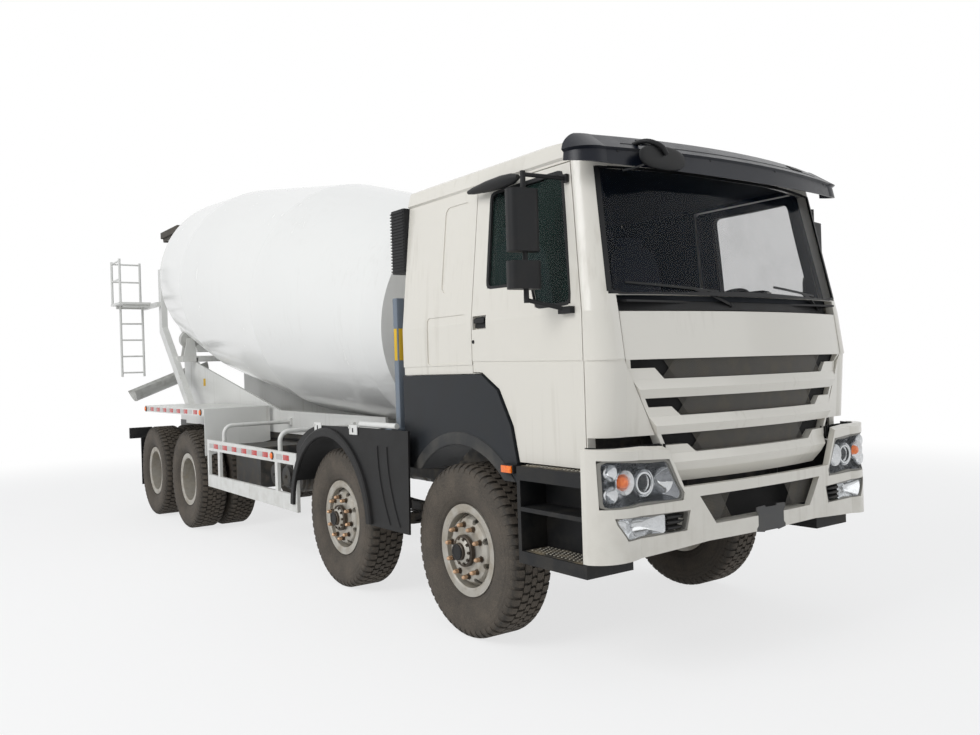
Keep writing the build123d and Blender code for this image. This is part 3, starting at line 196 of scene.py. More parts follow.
# rubber: dusty; the dust thins where the mesh's groove shade value is low, so the groove floors are darker
# with painted shade
def rubber(name, body, dusty, amount, useGrooveShade=False):
    f = Finish(name)
    fine = f.noise(0.006, 4)
    wide = f.noise(0.14, 5).rise(0.3, 0.7)
    cover = (wide * 0.26 + fine.rise(0.35, 0.7) * 0.42 + 0.24) * amount
    # less dust where the value is low: painted shade in the groove floors
    if useGrooveShade:
        dustAndGrooveShade = f.add("Attribute", {"attribute_name": "dustAndGrooveShade"}, output="Fac")
        cover = cover * (0.35 + dustAndGrooveShade * 0.65)
    f.set(Base_Color=f.mix(cover.clipped(), body, dusty), Roughness=(0.72 + cover * 0.2).clipped(),
          Normal=f.bump(fine + f.noise(0.0016, 2) * 0.4, 0.0009, 0.5))
    return f.material


# tinted pane: a part of the light goes straight through, the rest is glossy tint with a dust film
def glassFinish(name, tint, rough, haze, opacity):
    f = Finish(name, IOR=1.45, Specular_IOR_Level=0.35)
    film = f.noise(0.25, 5).rise(0.4, 0.75)
    f.set(Base_Color=f.mix(film * haze, tint, (0.4, 0.4, 0.37)), Roughness=(rough + film * 0.05).clipped(),
          Alpha=(opacity + film * haze).clipped())
    f.material.surface_render_method = "BLENDED"
    return f.material


# coloured lens: ribbed, a little of its own light so that it reads as lit from outside
def colourLens(name, body, deep, coat=0.5, glow=0.18):
    f = Finish(name, IOR=1.49, Coat_Weight=coat, Emission_Strength=glow)
    rib = f.cells(0.006, scale=(1, 1, 0.4))
    shade = f.mix(rib.clipped(), deep, body)
    f.set(Base_Color=shade, Emission_Color=shade, Roughness=(0.12 + rib * 0.12).clipped(),
          Normal=f.bump(rib, 0.001, 0.5))
    return f.material


cabWhite = paint("cabPaint", tone(226, 222, 212), tone(150, 140, 120), 0.2, 0.22, 1.3)
drumWhite = paint("drumPaint", tone(240, 240, 237), tone(186, 182, 172), 0.1, 0.0, 1.0, 0.2, 0.4)
bodyWhite = paint("bodyPaint", tone(226, 226, 222), tone(158, 150, 134), 0.25, 0.3, 1.4, 0.35, 0.2)
frameDark = metal("framePaint", tone(52, 52, 52), tone(112, 104, 92), 0.1, 0.45, 0.5)
castDark = metal("darkMetal", tone(46, 44, 42), tone(108, 98, 84), 0.35, 0.5, 0.5)
rimSilver = metal("rimPaint", tone(182, 178, 169), tone(146, 133, 112), 0.4, 0.40, 0.55, 0.004)
tyreDusty = rubber("tyreRubber", tone(33, 32, 30), tone(121, 110, 97), 0.76, True)
flapDusty = rubber("flapRubber", tone(44, 43, 41), tone(116, 108, 96), 0.6)
trimBlack = plastic("trimPlastic", tone(23, 24, 26), tone(92, 87, 78), amount=0.2)
guardBlack = plastic("guardPlastic", tone(17, 17, 18), tone(66, 63, 58), amount=0.12)
lipGrey = plastic("lipPlastic", tone(48, 49, 50), tone(112, 108, 100), amount=0.55)
archGrey = plastic("archPlastic", tone(34, 37, 41), tone(88, 84, 76), amount=0.2)
visorBlack = plastic("visorPlastic", tone(12, 17, 28), tone(50, 56, 66), 0.0014, 0.28, 0.15)
paneGreen = glassFinish("windscreenGlass", tone(14, 26, 40), 0.02, 0.02, 0.16)
paneSide = glassFinish("doorGlass", tone(52, 76, 70), 0.02, 0.03, 0.16)
lensClear = glassFinish("lampLens", tone(170, 174, 176), 0.02, 0.02, 0.05)
steelWorn = metal("chuteSteel", tone(200, 200, 196), tone(138, 134, 126), 0.15, 0.45, 0.45)
seatWeave = plastic("seatCloth", tone(52, 56, 66), tone(80, 80, 80), 0.0016, 0.9, 0.1)

castRust = metal("nutSteel", tone(74, 62, 52), tone(128, 108, 86), 0.55, 0.45, 0.5, 0.0016)
copperCap = metal("copperCap", tone(214, 176, 142), tone(140, 120, 98), 0.8, 0.25, 0.35, 0.002)
hubDark = metal("hubPaint", tone(66, 58, 50), tone(112, 98, 80), 0.35, 0.42, 0.5, 0.002)
# near-black for openings and holes: painted shade standing in for the dark space behind them
paintedGapShade = plastic("paintedGapShade", tone(12, 12, 13), tone(40, 38, 35), 0.0013, 0.75, 0.2)
meshGrey = metal("meshSteel", tone(92, 90, 86), tone(120, 112, 98), 0.5, 0.5, 0.4, 0.0014)
plateGrey = plastic("plateGrey", tone(84, 84, 84), tone(112, 108, 100), 0.0012, 0.6, 0.3)
bezelGrey = plastic("bezelGrey", tone(132, 130, 124), tone(150, 144, 132), 0.0011, 0.35, 0.25)
chrome = metal("brightChrome", tone(214, 216, 218), tone(176, 170, 158), 0.95, 0.10, 0.12, 0.004)
reflectorGrey = metal("lampReflector", tone(150, 152, 156), tone(58, 58, 58), 0.9, 0.14, 0.6, 0.02)
lensDark = glassFinish("darkLens", tone(30, 34, 38), 0.03, 0.05, 0.9)
amberGlow = colourLens("amberLens", tone(246, 128, 12), tone(206, 74, 2), 0.4, 0.22)
redGlow = colourLens("redLens", tone(204, 36, 26), tone(120, 10, 8))
liningDark = plastic("cabLining", tone(26, 30, 36), tone(60, 60, 58), 0.0015, 0.8, 0.12)
mirrorSilver = metal("mirrorSilver", tone(190, 198, 204), tone(150, 150, 146), 1.0, 0.04, 0.08, 0.01)
# red tape made as a lens: its red carries a painted glow, emission strength 0.1, though the tape is no lamp
redTapeFinish = colourLens("redTape", tone(196, 20, 14), tone(160, 10, 8), 0.1, 0.1)
silverTapeFinish = metal("silverTape", tone(196, 196, 194), tone(160, 156, 148), 0.3, 0.35, 0.3, 0.002)
treadDusty = metal("treadDust", tone(58, 56, 52), tone(132, 120, 98), 0.3, 0.6, 0.9, 0.002)
studWorn = metal("studWorn", tone(150, 146, 136), tone(138, 126, 104), 0.5, 0.4, 0.5, 0.002)
postGrey = plastic("postGrey", tone(118, 128, 140), tone(140, 138, 130), 0.0013, 0.5, 0.3, 2.6)
patchYellow = plastic("patchYellow", tone(226, 184, 44), tone(180, 156, 90), 0.0013, 0.5, 0.25, 2.6)

slotFinish = {
    "cab_paint": cabWhite, "drum_paint": drumWhite, "frame_paint": frameDark, "body_paint": bodyWhite,
    "dark_metal": castDark, "rim_paint": rimSilver, "tyre_rubber": tyreDusty, "flap_rubber": flapDusty,
    "trim_plastic": trimBlack, "visor_plastic": visorBlack, "window_glass": paneGreen, "lamp_lens": lensClear,
    "seat_cloth": seatWeave, "chute_steel": steelWorn,
}
for part in frame["record"]["subparts"]:
    node = cadNodes[part["node"]]
    node.data.materials.clear()
    node.data.materials.append(slotFinish[part["material_slot"]])
for name in ("door_glass_left", "door_glass_right"):
    cadNodes[name].data.materials[0] = paneSide
cadNodes["wheel_arches"].data.materials[0] = archGrey
cadNodes["mudguards"].data.materials[0] = guardBlack
print("materials on the packed nodes")


# v / |v|
def unit(v):
    v = np.asarray(v, float)
    return v / np.linalg.norm(v)


# grid of points (rows, columns, xyz) -> points and the quads between neighbours
def sheet(points, closeRows=False, closeColumns=False):
    index = np.arange(points.shape[0] * points.shape[1]).reshape(points.shape[:2])
    if closeRows:
        index = np.vstack([index, index[:1]])
    if closeColumns:
        index = np.hstack([index, index[:, :1]])
    quads = np.stack([index[:-1, :-1], index[:-1, 1:], index[1:, 1:], index[1:, :-1]], -1)
    return points.reshape(-1, 3), [quads.reshape(-1, 4)]


# point(a, t) = start + along(a) * direction + radius(a) * (cos t * across + sin t * up)
def lathe(profile, start, direction, steps):
    profile = np.array(profile, float)
    direction = unit(direction)
    across = unit(np.cross(direction, (0, 0, 1) if abs(direction[2]) < 0.9 else (1, 0, 0)))
    up = np.cross(direction, across)
    angle = np.arange(steps) * 2 * np.pi / steps
    ring = np.cos(angle)[:, None] * across + np.sin(angle)[:, None] * up
    points = np.array(start, float) + profile[:, :1, None] * direction + profile[:, 1:, None] * ring
    return sheet(points, closeColumns=True)


# point(p, t) = path(p) + radius * (cos t * side(p) + sin t * top(p)), closed by a pole at each end
def tube(path, radius, sides):
    path = np.array(path, float)
    tangent = np.gradient(path, axis=0)
    tangent /= np.linalg.norm(tangent, axis=1, keepdims=True)
    guide = np.eye(3)[np.argmin(np.abs(tangent).max(0))]
    side = np.cross(tangent, guide)
    side /= np.linalg.norm(side, axis=1, keepdims=True)
    top = np.cross(tangent, side)
    angle = np.arange(sides) * 2 * np.pi / sides
    ring = np.cos(angle)[None, :, None] * side[:, None] + np.sin(angle)[None, :, None] * top[:, None]
    body = path[:, None] + radius * ring
    poles = [np.repeat(path[end][None, None], sides, 1) for end in (0, -1)]
    return sheet(np.concatenate([poles[0], body, poles[1]]), closeColumns=True)


# closes a grid's first and last column, each by a pole at its middle
def capped(points):
    poles = [np.repeat(points[:, end].mean(0)[None, None], len(points), 0) for end in (0, -1)]
    return np.concatenate([poles[0], points, poles[1]], 1)


# corner(s) = quadratic curve from a little before each corner to a little after it
def rounded(points, radius, steps=4, closed=True):
    points = np.array(points, float)
    before, after = np.roll(points, 1, 0) - points, np.roll(points, -1, 0) - points
    near = [np.linalg.norm(v, axis=1, keepdims=True) for v in (before, after)]
    reach = [np.minimum(radius, length * 0.45) / np.maximum(length, 1e-9) for length in near]
    a, b = points + before * reach[0], points + after * reach[1]
    s = np.linspace(0, 1, steps + 1)[None, :, None]
    curve = (1 - s) ** 2 * a[:, None] + 2 * s * (1 - s) * points[:, None] + s ** 2 * b[:, None]
    if not closed:
        return np.vstack([points[:1], curve[1:-1].reshape(-1, points.shape[1]), points[-1:]])
    return curve.reshape(-1, points.shape[1])


# a flat outline carried a depth along out, its edges drawn in by a small bevel at both faces
def slab(outline, origin, across, up, depth, edge=0.002):
    outline = np.array(outline, float)
    across, up = unit(across), unit(up)
    out = np.cross(across, up)
    middle = outline.mean(0)
    away = outline - middle
    inner = outline - edge * away / np.linalg.norm(away, axis=1, keepdims=True)
    centre = np.repeat(middle[None], len(outline), 0)
    rows = [(centre, 0), (inner, 0), (outline, edge)]
    rows += [(outline, depth - edge), (inner, depth), (centre, depth)]
    origin = np.array(origin, float)
    points = [origin + flat[:, :1] * across + flat[:, 1:] * up + level * out for flat, level in rows]
    return sheet(np.array(points), closeColumns=True)


# corners at plus and minus half of each length, rounded
def rectangle(width, height, radius):
    w, h = width / 2, height / 2
    return rounded([(-w, -h), (w, -h), (w, h), (-w, h)], radius, 3)


# a block between two opposite corners: a rounded rectangle carried upwards, its faces bevelled
def block(low, high, radius=0.006, edge=0.003):
    low, high = np.minimum(low, high).astype(float), np.maximum(low, high).astype(float)
    size, middle = high - low, (low + high) / 2
    outline = rectangle(size[0], size[1], radius)
    return slab(outline, (middle[0], middle[1], low[2]), (1, 0, 0), (0, 1, 0), size[2], edge)


# the same faces at several places: point + shift
def repeat(part, shifts):
    points, faces = part
    shifts = np.array(shifts, float)
    moved = (points[None] + shifts[:, None]).reshape(-1, 3)
    step = (np.arange(len(shifts)) * len(points))[:, None, None]
    return moved, [(f[None] + step).reshape(-1, f.shape[1]) for f in faces]


# the same faces turned about a line: the part of each arm along the line stays, the rest turns by the angle
def spun(part, centre, axis, angles):
    points, faces = part
    axis, centre = unit(axis), np.array(centre, float)
    angles = np.array(angles, float)[:, None, None]
    arm = (points - centre)[None]
    along = (arm @ axis)[..., None] * axis
    turned = along + (arm - along) * np.cos(angles) + np.cross(axis, arm) * np.sin(angles)
    step = (np.arange(len(angles)) * len(points))[:, None, None]
    return (turned + centre).reshape(-1, 3), [(f[None] + step).reshape(-1, f.shape[1]) for f in faces]


# y becomes -y, and the faces run the other way round
def mirrored(part):
    points, faces = part
    return points * (1, -1, 1), [f[:, ::-1] for f in faces]


finishSlot = {finish.name: slotName for slotName, finish in slotFinish.items()}
finishSlot.update({"nutSteel": "dark_metal", "copperCap": "dark_metal", "hubPaint": "dark_metal"})


# joins parts to one mesh, welds poles and seams, turns faces outward, smooths below the crease angle
def makePiece(name, parts, finish, body, crease=35, replaces=(), slotName=None):
    points = np.vstack([p for p, _ in parts])
    starts = np.cumsum([0] + [len(p) for p, _ in parts])
    faces = [f + start for (_, group), start in zip(parts, starts) for f in group]
    sizes = np.concatenate([np.full(len(f), f.shape[1]) for f in faces])
    corners = np.concatenate([f.reshape(-1) for f in faces])
    mesh = bpy.data.meshes.new(name)
    mesh.vertices.add(len(points))
    mesh.vertices.foreach_set("co", points.astype(np.float32).reshape(-1))
    mesh.loops.add(len(corners))
    mesh.loops.foreach_set("vertex_index", corners.astype(np.int32))
    mesh.polygons.add(len(sizes))
    mesh.polygons.foreach_set("loop_start", np.concatenate([[0], np.cumsum(sizes)[:-1]]).astype(np.int32))
    mesh.update(calc_edges=True)
    work = bmesh.new()
    work.from_mesh(mesh)
    bmesh.ops.remove_doubles(work, verts=work.verts, dist=2e-6)
    bmesh.ops.recalc_face_normals(work, faces=work.faces)
    work.to_mesh(mesh)
    work.free()
    mesh.polygons.foreach_set("use_smooth", np.ones(len(mesh.polygons), bool))
    mesh.set_sharp_from_angle(angle=math.radians(crease))
    piece = bpy.data.objects.new(name, mesh)
    bpy.context.scene.collection.objects.link(piece)
    mesh.materials.append(finish)
    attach(piece, body)
    slotName or finishSlot.get(finish.name, "trim_plastic")
    if replaces:
        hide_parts(*replaces)
    return piece


tyreSizes = {
    "baseRadius": 0.5490,  # floor of the grooves
    "treadRadius": 0.5622,
    "pitches": 54,  # tread blocks round the tyre
    "around": 108,  # steps of the carcass
    "planeY": {"front": 1.011, "second": 1.011, "third": 0.915, "fourth": 0.915},
    "twinHalf": 0.1755,  # each tyre of a pair from the pair's middle
    # half of the carcass, from bead to tread: (radius, distance from the tyre's middle)
    "sidewall": [
        (0.2545, 0.1070), (0.2900, 0.1075), (0.3040, 0.1085), (0.3080, 0.1150), (0.3180, 0.1225),
        (0.3215, 0.1260), (0.3260, 0.1262), (0.3290, 0.1285), (0.3500, 0.1385), (0.3560, 0.1425),
        (0.3620, 0.1425), (0.3680, 0.1450), (0.4000, 0.1520), (0.4300, 0.1553), (0.4560, 0.1555),
        (0.4620, 0.1570), (0.4680, 0.1548), (0.4850, 0.1538), (0.4900, 0.1548), (0.4960, 0.1530),
        (0.5080, 0.1500), (0.5250, 0.1455), (0.5370, 0.1385), (0.5460, 0.1260), (0.5490, 0.1100)],
    # section of a shoulder lug: (radius, distance from the tyre's middle)
    "shoulder": [
        (0.5622, 0.0800), (0.5622, 0.1120), (0.5560, 0.1275), (0.5440, 0.1405), (0.5280, 0.1490),
        (0.5120, 0.1520), (0.5050, 0.1500), (0.5200, 0.1440), (0.5440, 0.1200), (0.5440, 0.0800)],
    # outlines of the tread blocks: (share of a pitch, y)
    "middleBlock": [(-0.40, -0.0175), (-0.30, 0.0020), (-0.40, 0.0175), (0.34, 0.0175), (0.44, 0.0020),
                    (0.34, -0.0175)],
    "ribBlock": [(-0.36, 0.0), (-0.46, 0.022), (-0.36, 0.050), (0.36, 0.050), (0.26, 0.022), (0.36, 0.0)],
    "ribStart": 0.0225,
}
steeredAxles = ("front", "second")


# middle of a wheel, moved out along its line by an offset
def wheelMiddle(place, side, offset=0.0):
    return axleX[place], side * (tyreSizes["planeY"][place] + offset), axleZ


# x = middle + radius * cos(angle), z = middle + radius * sin(angle), y from the wheel's middle
def wheelPoints(centre, radius, angle, y):
    return np.stack([centre[0] + radius * np.cos(angle), np.broadcast_to(centre[1] + y, angle.shape),
                     centre[2] + radius * np.sin(angle)], -1)


# one prism for each pitch between its two loops of corners; the first loop may stay open
def prisms(first, last, shut):
    count, corners = first.shape[:2]
    base = (np.arange(count) * 2 * corners)[:, None]
    low, high = np.arange(corners), np.arange(corners) + corners
    walls = np.stack([low, np.roll(low, -1), np.roll(high, -1), high], -1)
    ends = [base + low[::-1], base + high] if shut else [base + high]
    return np.stack([first, last], 1).reshape(-1, 3), ends + [(base[:, :, None] + walls).reshape(-1, 4)]


# carcass: the sidewall profile and its mirror image turned about the axle
def carcass(centre):
    half = [(y, radius) for radius, y in tyreSizes["sidewall"]]
    return lathe(half + [(-y, radius) for y, radius in half[::-1]], centre, (0, 1, 0), tyreSizes["around"])


# tread blocks: angle = (pitch number + share of the outline + shift) * pitch, from groove floor to tread
def treadRow(centre, outline, shift):
    outline, count = np.array(outline, float), tyreSizes["pitches"]
    angle = (np.arange(count)[:, None] + outline[None, :, 0] + shift) * (2 * np.pi / count)
    return prisms(wheelPoints(centre, tyreSizes["baseRadius"] - 0.003, angle, outline[:, 1]),
                  wheelPoints(centre, tyreSizes["treadRadius"], angle, outline[:, 1]), False)


# shoulder lugs: the section at both edges of a share of the pitch, slanted and narrower towards the sidewall
def shoulderRow(centre, way):
    section, count = np.array(tyreSizes["shoulder"]), tyreSizes["pitches"]
    slant = (section[:, 1] - 0.08) * 1.6
    grow = 1 - 0.18 * np.clip((section[:, 1] - 0.11) / 0.04, 0, 1)
    edges = [wheelPoints(centre, section[:, 0], (np.arange(count)[:, None] + share * grow + slant)
                         * (2 * np.pi / count), way * section[:, 1]) for share in (-0.34, 0.34)]
    return prisms(*edges, True)


# groove shade value: 0 on the groove floors, painted shade there, 1 on the tread, and on the sidewall 1 - 4 *
# distance from radius 0.43, so darker towards the bead and the shoulder
def dustAndGrooveShadeOf(radius):
    sidewall = np.clip(1.0 - np.abs(radius - 0.43) * 4, 0.35, 1)
    return np.where(radius < 0.538, sidewall, np.clip((radius - 0.5465) / 0.015, 0, 1))


# one tyre, or a pair on the driven axles: carcass, middle blocks, ribs half a pitch on, shoulder lugs
def makeTyre(place, sideName, side):
    twin = tyreSizes["twinHalf"]
    parts = []
    for offset in (0.0,) if place in steeredAxles else (twin, -twin):
        centre = wheelMiddle(place, side, offset)
        parts.append(carcass(centre))
        parts.append(treadRow(centre, tyreSizes["middleBlock"], 0.0))
        for way in (1, -1):
            rib = [(share, way * (y + tyreSizes["ribStart"])) for share, y in tyreSizes["ribBlock"]]
            parts.append(treadRow(centre, rib, 0.5))
            parts.append(shoulderRow(centre, way))
    piece = makePiece(f"treadedTyre_{place}_{sideName}", parts, tyreDusty, f"wheel_{place}_{sideName}", 40,
                      replaces=[f"tyre_{place}_{sideName}"])
    co = np.zeros(len(piece.data.vertices) * 3, np.float32)
    piece.data.vertices.foreach_get("co", co)
    co = co.reshape(-1, 3)
    # low in the groove floors: painted shade there
    dustAndGrooveShade = dustAndGrooveShadeOf(np.hypot(co[:, 0] - axleX[place], co[:, 2] - axleZ))
    layer = piece.data.attributes.new("dustAndGrooveShade", "FLOAT", "POINT")
    layer.data.foreach_set("value", dustAndGrooveShade.astype(np.float32))


hubSizes = {
    "nuts": 10,
    "nutFlat": 0.0165,
    "boltCircle": 0.083,
    "bolts": 10,
    # steered and driven wheels: circle of the nuts, and distances from the wheel's middle plane
    "nutCircle": (0.1675, 0.155),
    "nutSeat": (0.1195, 0.0135),
    "hubFace": (0.157, 0.151),
    "boltLift": (-0.001, 0.009),
    "valveSeat": (0.100, 0.090),
    # hub covers: (distance out of the hub's face, radius)
    "cover": ([(-0.03, 0.0), (-0.03, 0.104), (-0.006, 0.104), (0.0, 0.098), (0.0, 0.062), (0.010, 0.058),
               (0.030, 0.056), (0.036, 0.050), (0.037, 0.0)],
              [(-0.03, 0), (-0.03, 0.104), (0.004, 0.104), (0.010, 0.098), (0.014, 0.060), (0.030, 0.052),
               (0.032, 0)]),
}


# nuts, caps and hub bolts: each turned about its own line, then spun round the wheel's line
def makeWheelFittings(place, sideName, side):
    driven = place not in steeredAxles
    keys = ("nutCircle", "nutSeat", "hubFace", "boltLift", "valveSeat", "cover")
    nutCircle, nutSeat, hubFace, boltLift, valveSeat, cover = (hubSizes[key][driven] for key in keys)
    body, out = f"wheel_{place}_{sideName}", (0, side, 0)
    centre = wheelMiddle(place, side)
    seat = wheelMiddle(place, side, nutSeat) + np.array((nutCircle, 0, 0))
    angles = np.arange(hubSizes["nuts"]) * 2 * np.pi / hubSizes["nuts"] + 0.2
    flat = hubSizes["nutFlat"]
    nut = lathe([(0, 0), (0, flat + 0.006), (0.004, flat + 0.006), (0.004, flat), (0.022, flat),
                 (0.025, flat - 0.003), (0.025, 0)], seat, out, 6)
    makePiece(f"wheelNuts_{place}_{sideName}", [spun(nut, centre, (0, 1, 0), angles)], castRust, body)
    cap = lathe([(0.020, 0.0150), (0.042, 0.0150), (0.050, 0.0125), (0.056, 0.0075), (0.058, 0)],
                seat, out, 12)
    makePiece(f"nutCaps_{place}_{sideName}", [spun(cap, centre, (0, 1, 0), angles)],
              castRust if driven else copperCap, body)
    boltSeat = wheelMiddle(place, side, hubFace + boltLift) + np.array((hubSizes["boltCircle"], 0, 0))
    bolt = lathe([(0, 0), (0, 0.0105), (0.012, 0.0105), (0.015, 0.008), (0.016, 0)], boltSeat, out, 6)
    bolts = spun(bolt, centre, (0, 1, 0), np.arange(hubSizes["bolts"]) * 2 * np.pi / hubSizes["bolts"])
    hub = lathe(cover, wheelMiddle(place, side, hubFace), out, 40)
    makePiece(f"hubCover_{place}_{sideName}", [hub, bolts], hubDark, body)
    if not driven:
        ring = lathe([(0, 0.0), (0.0, 0.050), (0.003, 0.053), (0.008, 0.053), (0.010, 0.046), (0.006, 0.040),
                      (0.007, 0.0)], wheelMiddle(place, side, hubFace + 0.036), out, 32)
        makePiece(f"hubCap_{place}_{sideName}", [ring], trimBlack, body)
    # valve: a short stem beside a hand hole
    stem = lathe([(0, 0), (0, 0.006), (0.03, 0.005), (0.032, 0.0065), (0.044, 0.0065), (0.046, 0)],
                 wheelMiddle(place, side, valveSeat) + np.array((0, 0, 0.232)), (0, side * 0.9, -0.35), 10)
    makePiece(f"valve_{place}_{sideName}", [stem], castDark, body)


for makeParts in (makeTyre, makeWheelFittings):
    for place in tyreSizes["planeY"]:
        for sideName, side in (("left", 1), ("right", -1)):
            makeParts(place, sideName, side)
print("tyres, nuts and hubs made")

cabSizes = {
    # height, half width, nose ahead of the front axle
    "sections": np.array([
        (1.060, 1.150, 1.440), (1.775, 1.150, 1.490), (2.035, 1.150, 1.452), (2.905, 1.059, 1.294),
        (2.918, 1.074, 1.306), (3.012, 1.048, 1.170), (3.078, 0.890, 0.905)]),
    "noseSag": 0.12,  # the wide curve falls back this far at the corner
    "cornerWidth": 0.165,
    "corner": ((0, 0), (-0.0364, 0.1155), (-0.13, 0.165)),
}
bumperSizes = {
    "nose": 5.25,
    "wideY": 0.985,  # the wide circle ends here
    "sag": 0.07,
    "corner": ((5.180, 0.985), (5.138, 1.187), (5.05, 1.245)),
}


# centre and radius of the circle through three flat points
def circleThrough(a, b, c):
    a, b, c = [np.array(p, float) for p in (a, b, c)]
    rows = 2 * np.array([b - a, c - a])
    centre = np.linalg.solve(rows, [b @ b - a @ a, c @ c - a @ a])
    return centre, np.linalg.norm(a - centre)


# half width of the cab at a height, less the inset
def cabHalf(z, inset):
    return np.interp(z, cabSizes["sections"][:, 0], cabSizes["sections"][:, 1]) - inset


# cab front: x = nose(z) - R + sqrt(R^2 - y^2) up to the corner, then the corner's own circle
def cabFront(y, z, inset=0.0):
    y, z = np.broadcast_arrays(np.asarray(y, float), np.asarray(z, float))
    heights, noses = cabSizes["sections"][:, 0], cabSizes["sections"][:, 2]
    nose = axleX["front"] + np.interp(z, heights, noses) - inset
    sag, cornerWidth = cabSizes["noseSag"], cabSizes["cornerWidth"]
    cornerY = cabHalf(z, inset) - cornerWidth
    radius = (cornerY ** 2 + sag ** 2) / (2 * sag)
    centre, bend = circleThrough(*cabSizes["corner"])
    past = np.clip(np.abs(y) - cornerY, 0, cornerWidth - 0.005)
    x = nose - radius + np.sqrt(radius ** 2 - np.minimum(np.abs(y), cornerY) ** 2)
    corner = nose - sag + centre[0] + np.sqrt(np.maximum(bend ** 2 - (past - centre[1]) ** 2, 0))
    return np.stack([np.where(np.abs(y) > cornerY, corner, x), y, z], -1)


# cab side: y = side * (half width(z) - inset), as a surface of x and z
def cabSide(side):
    def surface(x, z, inset=0.0):
        x, z, inset = np.broadcast_arrays(x, z, inset)
        return np.stack([x, side * cabHalf(z, inset), z], -1)
    return surface


# bumper front: two circles, the wide one and the corner's, each made smaller by the inset
def bumperFront(y, z, inset=0.0):
    y, z, inset = np.broadcast_arrays(*(np.asarray(v, float) for v in (y, z, inset)))
    away, wideY, sag = np.abs(y), bumperSizes["wideY"], bumperSizes["sag"]
    radius = (wideY ** 2 + sag ** 2) / (2 * sag)
    centre, bend = circleThrough(*bumperSizes["corner"])
    wide = bumperSizes["nose"] - radius + np.sqrt((radius - inset) ** 2 - away ** 2)
    corner = centre[0] + np.sqrt(np.maximum((bend - inset) ** 2 - (away - centre[1]) ** 2, 0))
    return np.stack([np.where(away > wideY, corner, wide), y, z], -1)


# where rays from a middle, at even angles, meet an outline
def fan(outline, middle, count=96):
    outline = np.array(outline, float) - middle
    angle = np.linspace(0, 2 * np.pi, count, endpoint=False)
    ray = np.stack([np.cos(angle), np.sin(angle)], -1)[:, None]
    edge = (np.roll(outline, -1, 0) - outline)[None]
    cross = ray[..., 0] * edge[..., 1] - ray[..., 1] * edge[..., 0]
    cross = np.where(np.abs(cross) < 1e-12, 1e-12, cross)
    reach = (outline[None, :, 0] * edge[..., 1] - outline[None, :, 1] * edge[..., 0]) / cross
    share = (outline[None, :, 0] * ray[..., 1] - outline[None, :, 1] * ray[..., 0]) / cross
    good = (reach > 0) & (share >= -1e-9) & (share <= 1 + 1e-9)
    return middle + np.where(good, reach, np.inf).min(1)[:, None] * ray[:, 0]


# an outline moved towards its middle by a gap
def drawnIn(edge, middle, gap):
    away = edge - middle
    return middle + away * (1 - gap / np.linalg.norm(away, axis=1, keepdims=True))


# a plate laid on a surface: point = middle + share * (outline - middle), at a front and a back inset
def plate(outline, surface, front, back, rings=5):
    outline = np.array(outline, float)
    middle = outline.mean(0)
    share = np.linspace(0, 1, rings + 1)[:, None, None]
    flat = middle + share * (outline - middle)
    points = [surface(flat[..., 0], flat[..., 1], front), surface(flat[::-1, :, 0], flat[::-1, :, 1], back)]
    return sheet(np.concatenate(points), closeColumns=True)


# a band between two outlines that have as many points, laid on a surface
def band(outer, inner, surface, front, back):
    rows = [(outer, back), (outer, front), (inner, front), (inner, back)]
    points = np.stack([surface(outline[:, 0], outline[:, 1], level) for outline, level in rows])
    return sheet(points, closeRows=True, closeColumns=True)


# a plate between two edges over the same places: z = low + share * (high - low)
def strip(places, low, high, surface, front, back, rows=3):
    share = np.linspace(0, 1, rows + 1)[:, None]
    z = low + share * (high - low)
    y = np.broadcast_to(places, z.shape)
    loops = np.concatenate([surface(y, z, front), surface(y[::-1], z[::-1], back)])
    return sheet(capped(loops), closeRows=True)


# straight square bars from starts to ends: corner = end +- wide / 2 * side +- tall / 2 * top
def bars(starts, ends, wide, tall, guide=(1, 0, 0)):
    starts, ends = np.array(starts, float), np.array(ends, float)
    along = ends - starts
    along /= np.linalg.norm(along, axis=1, keepdims=True)
    side = np.cross(along, np.array(guide, float))
    side /= np.linalg.norm(side, axis=1, keepdims=True)
    top = np.cross(side, along)
    corner = np.array([(-1, -1), (1, -1), (1, 1), (-1, 1)]) / 2
    ring = corner[:, 0, None, None] * wide * side + corner[:, 1, None, None] * tall * top
    points = np.stack([starts[None] + ring, ends[None] + ring], 1).transpose(2, 1, 0, 3)
    base = (np.arange(len(starts)) * 8)[:, None, None]
    quads = np.array([(0, 1, 2, 3), (4, 7, 6, 5), (0, 4, 5, 1), (1, 5, 6, 2), (2, 6, 7, 3), (3, 7, 4, 0)])
    return points.reshape(-1, 3), [(base + quads[None]).reshape(-1, 4)]


# the sign of w times |w| to a power
def bend(w, power):
    return np.sign(w) * np.abs(w) ** power


# an egg shape: half * (cos v cos u, cos v sin u, sin v), each factor bent to 2 / power so that it squares off
def pillow(centre, half, power, steps=(20, 32), frameOf=((1, 0, 0), (0, 1, 0), (0, 0, 1))):
    v = np.linspace(-np.pi / 2, np.pi / 2, steps[0] + 1)[:, None]
    u = np.linspace(0, 2 * np.pi, steps[1], endpoint=False)[None]
    cosV, sinV, cosU, sinU = (bend(w, 2 / power) for w in (np.cos(v), np.sin(v), np.cos(u), np.sin(u)))
    local = np.stack([cosV * cosU, cosV * sinU, sinV * np.ones_like(u)], -1) * np.array(half)
    return sheet(np.array(centre) + local @ np.array([unit(a) for a in frameOf]), closeColumns=True)


grilleSizes = {
    # low edge in the deep part, low edge towards the ends, top edge
    "slots": [(1.242, 1.290, 1.352), (1.450, 1.502, 1.552), (1.656, 1.718, 1.765)],
    "backInset": 0.0395,
    "wireInset": 0.030,
    "wireGap": 0.0105,
    "wire": 0.0030,
}


# half width of the lid less a slot's margin: straight from 0.665 at the foot to 1.000 at the top
def slotHalf(z):
    return 0.665 + (z - 1.075) * 0.335 / 0.700 - 0.033
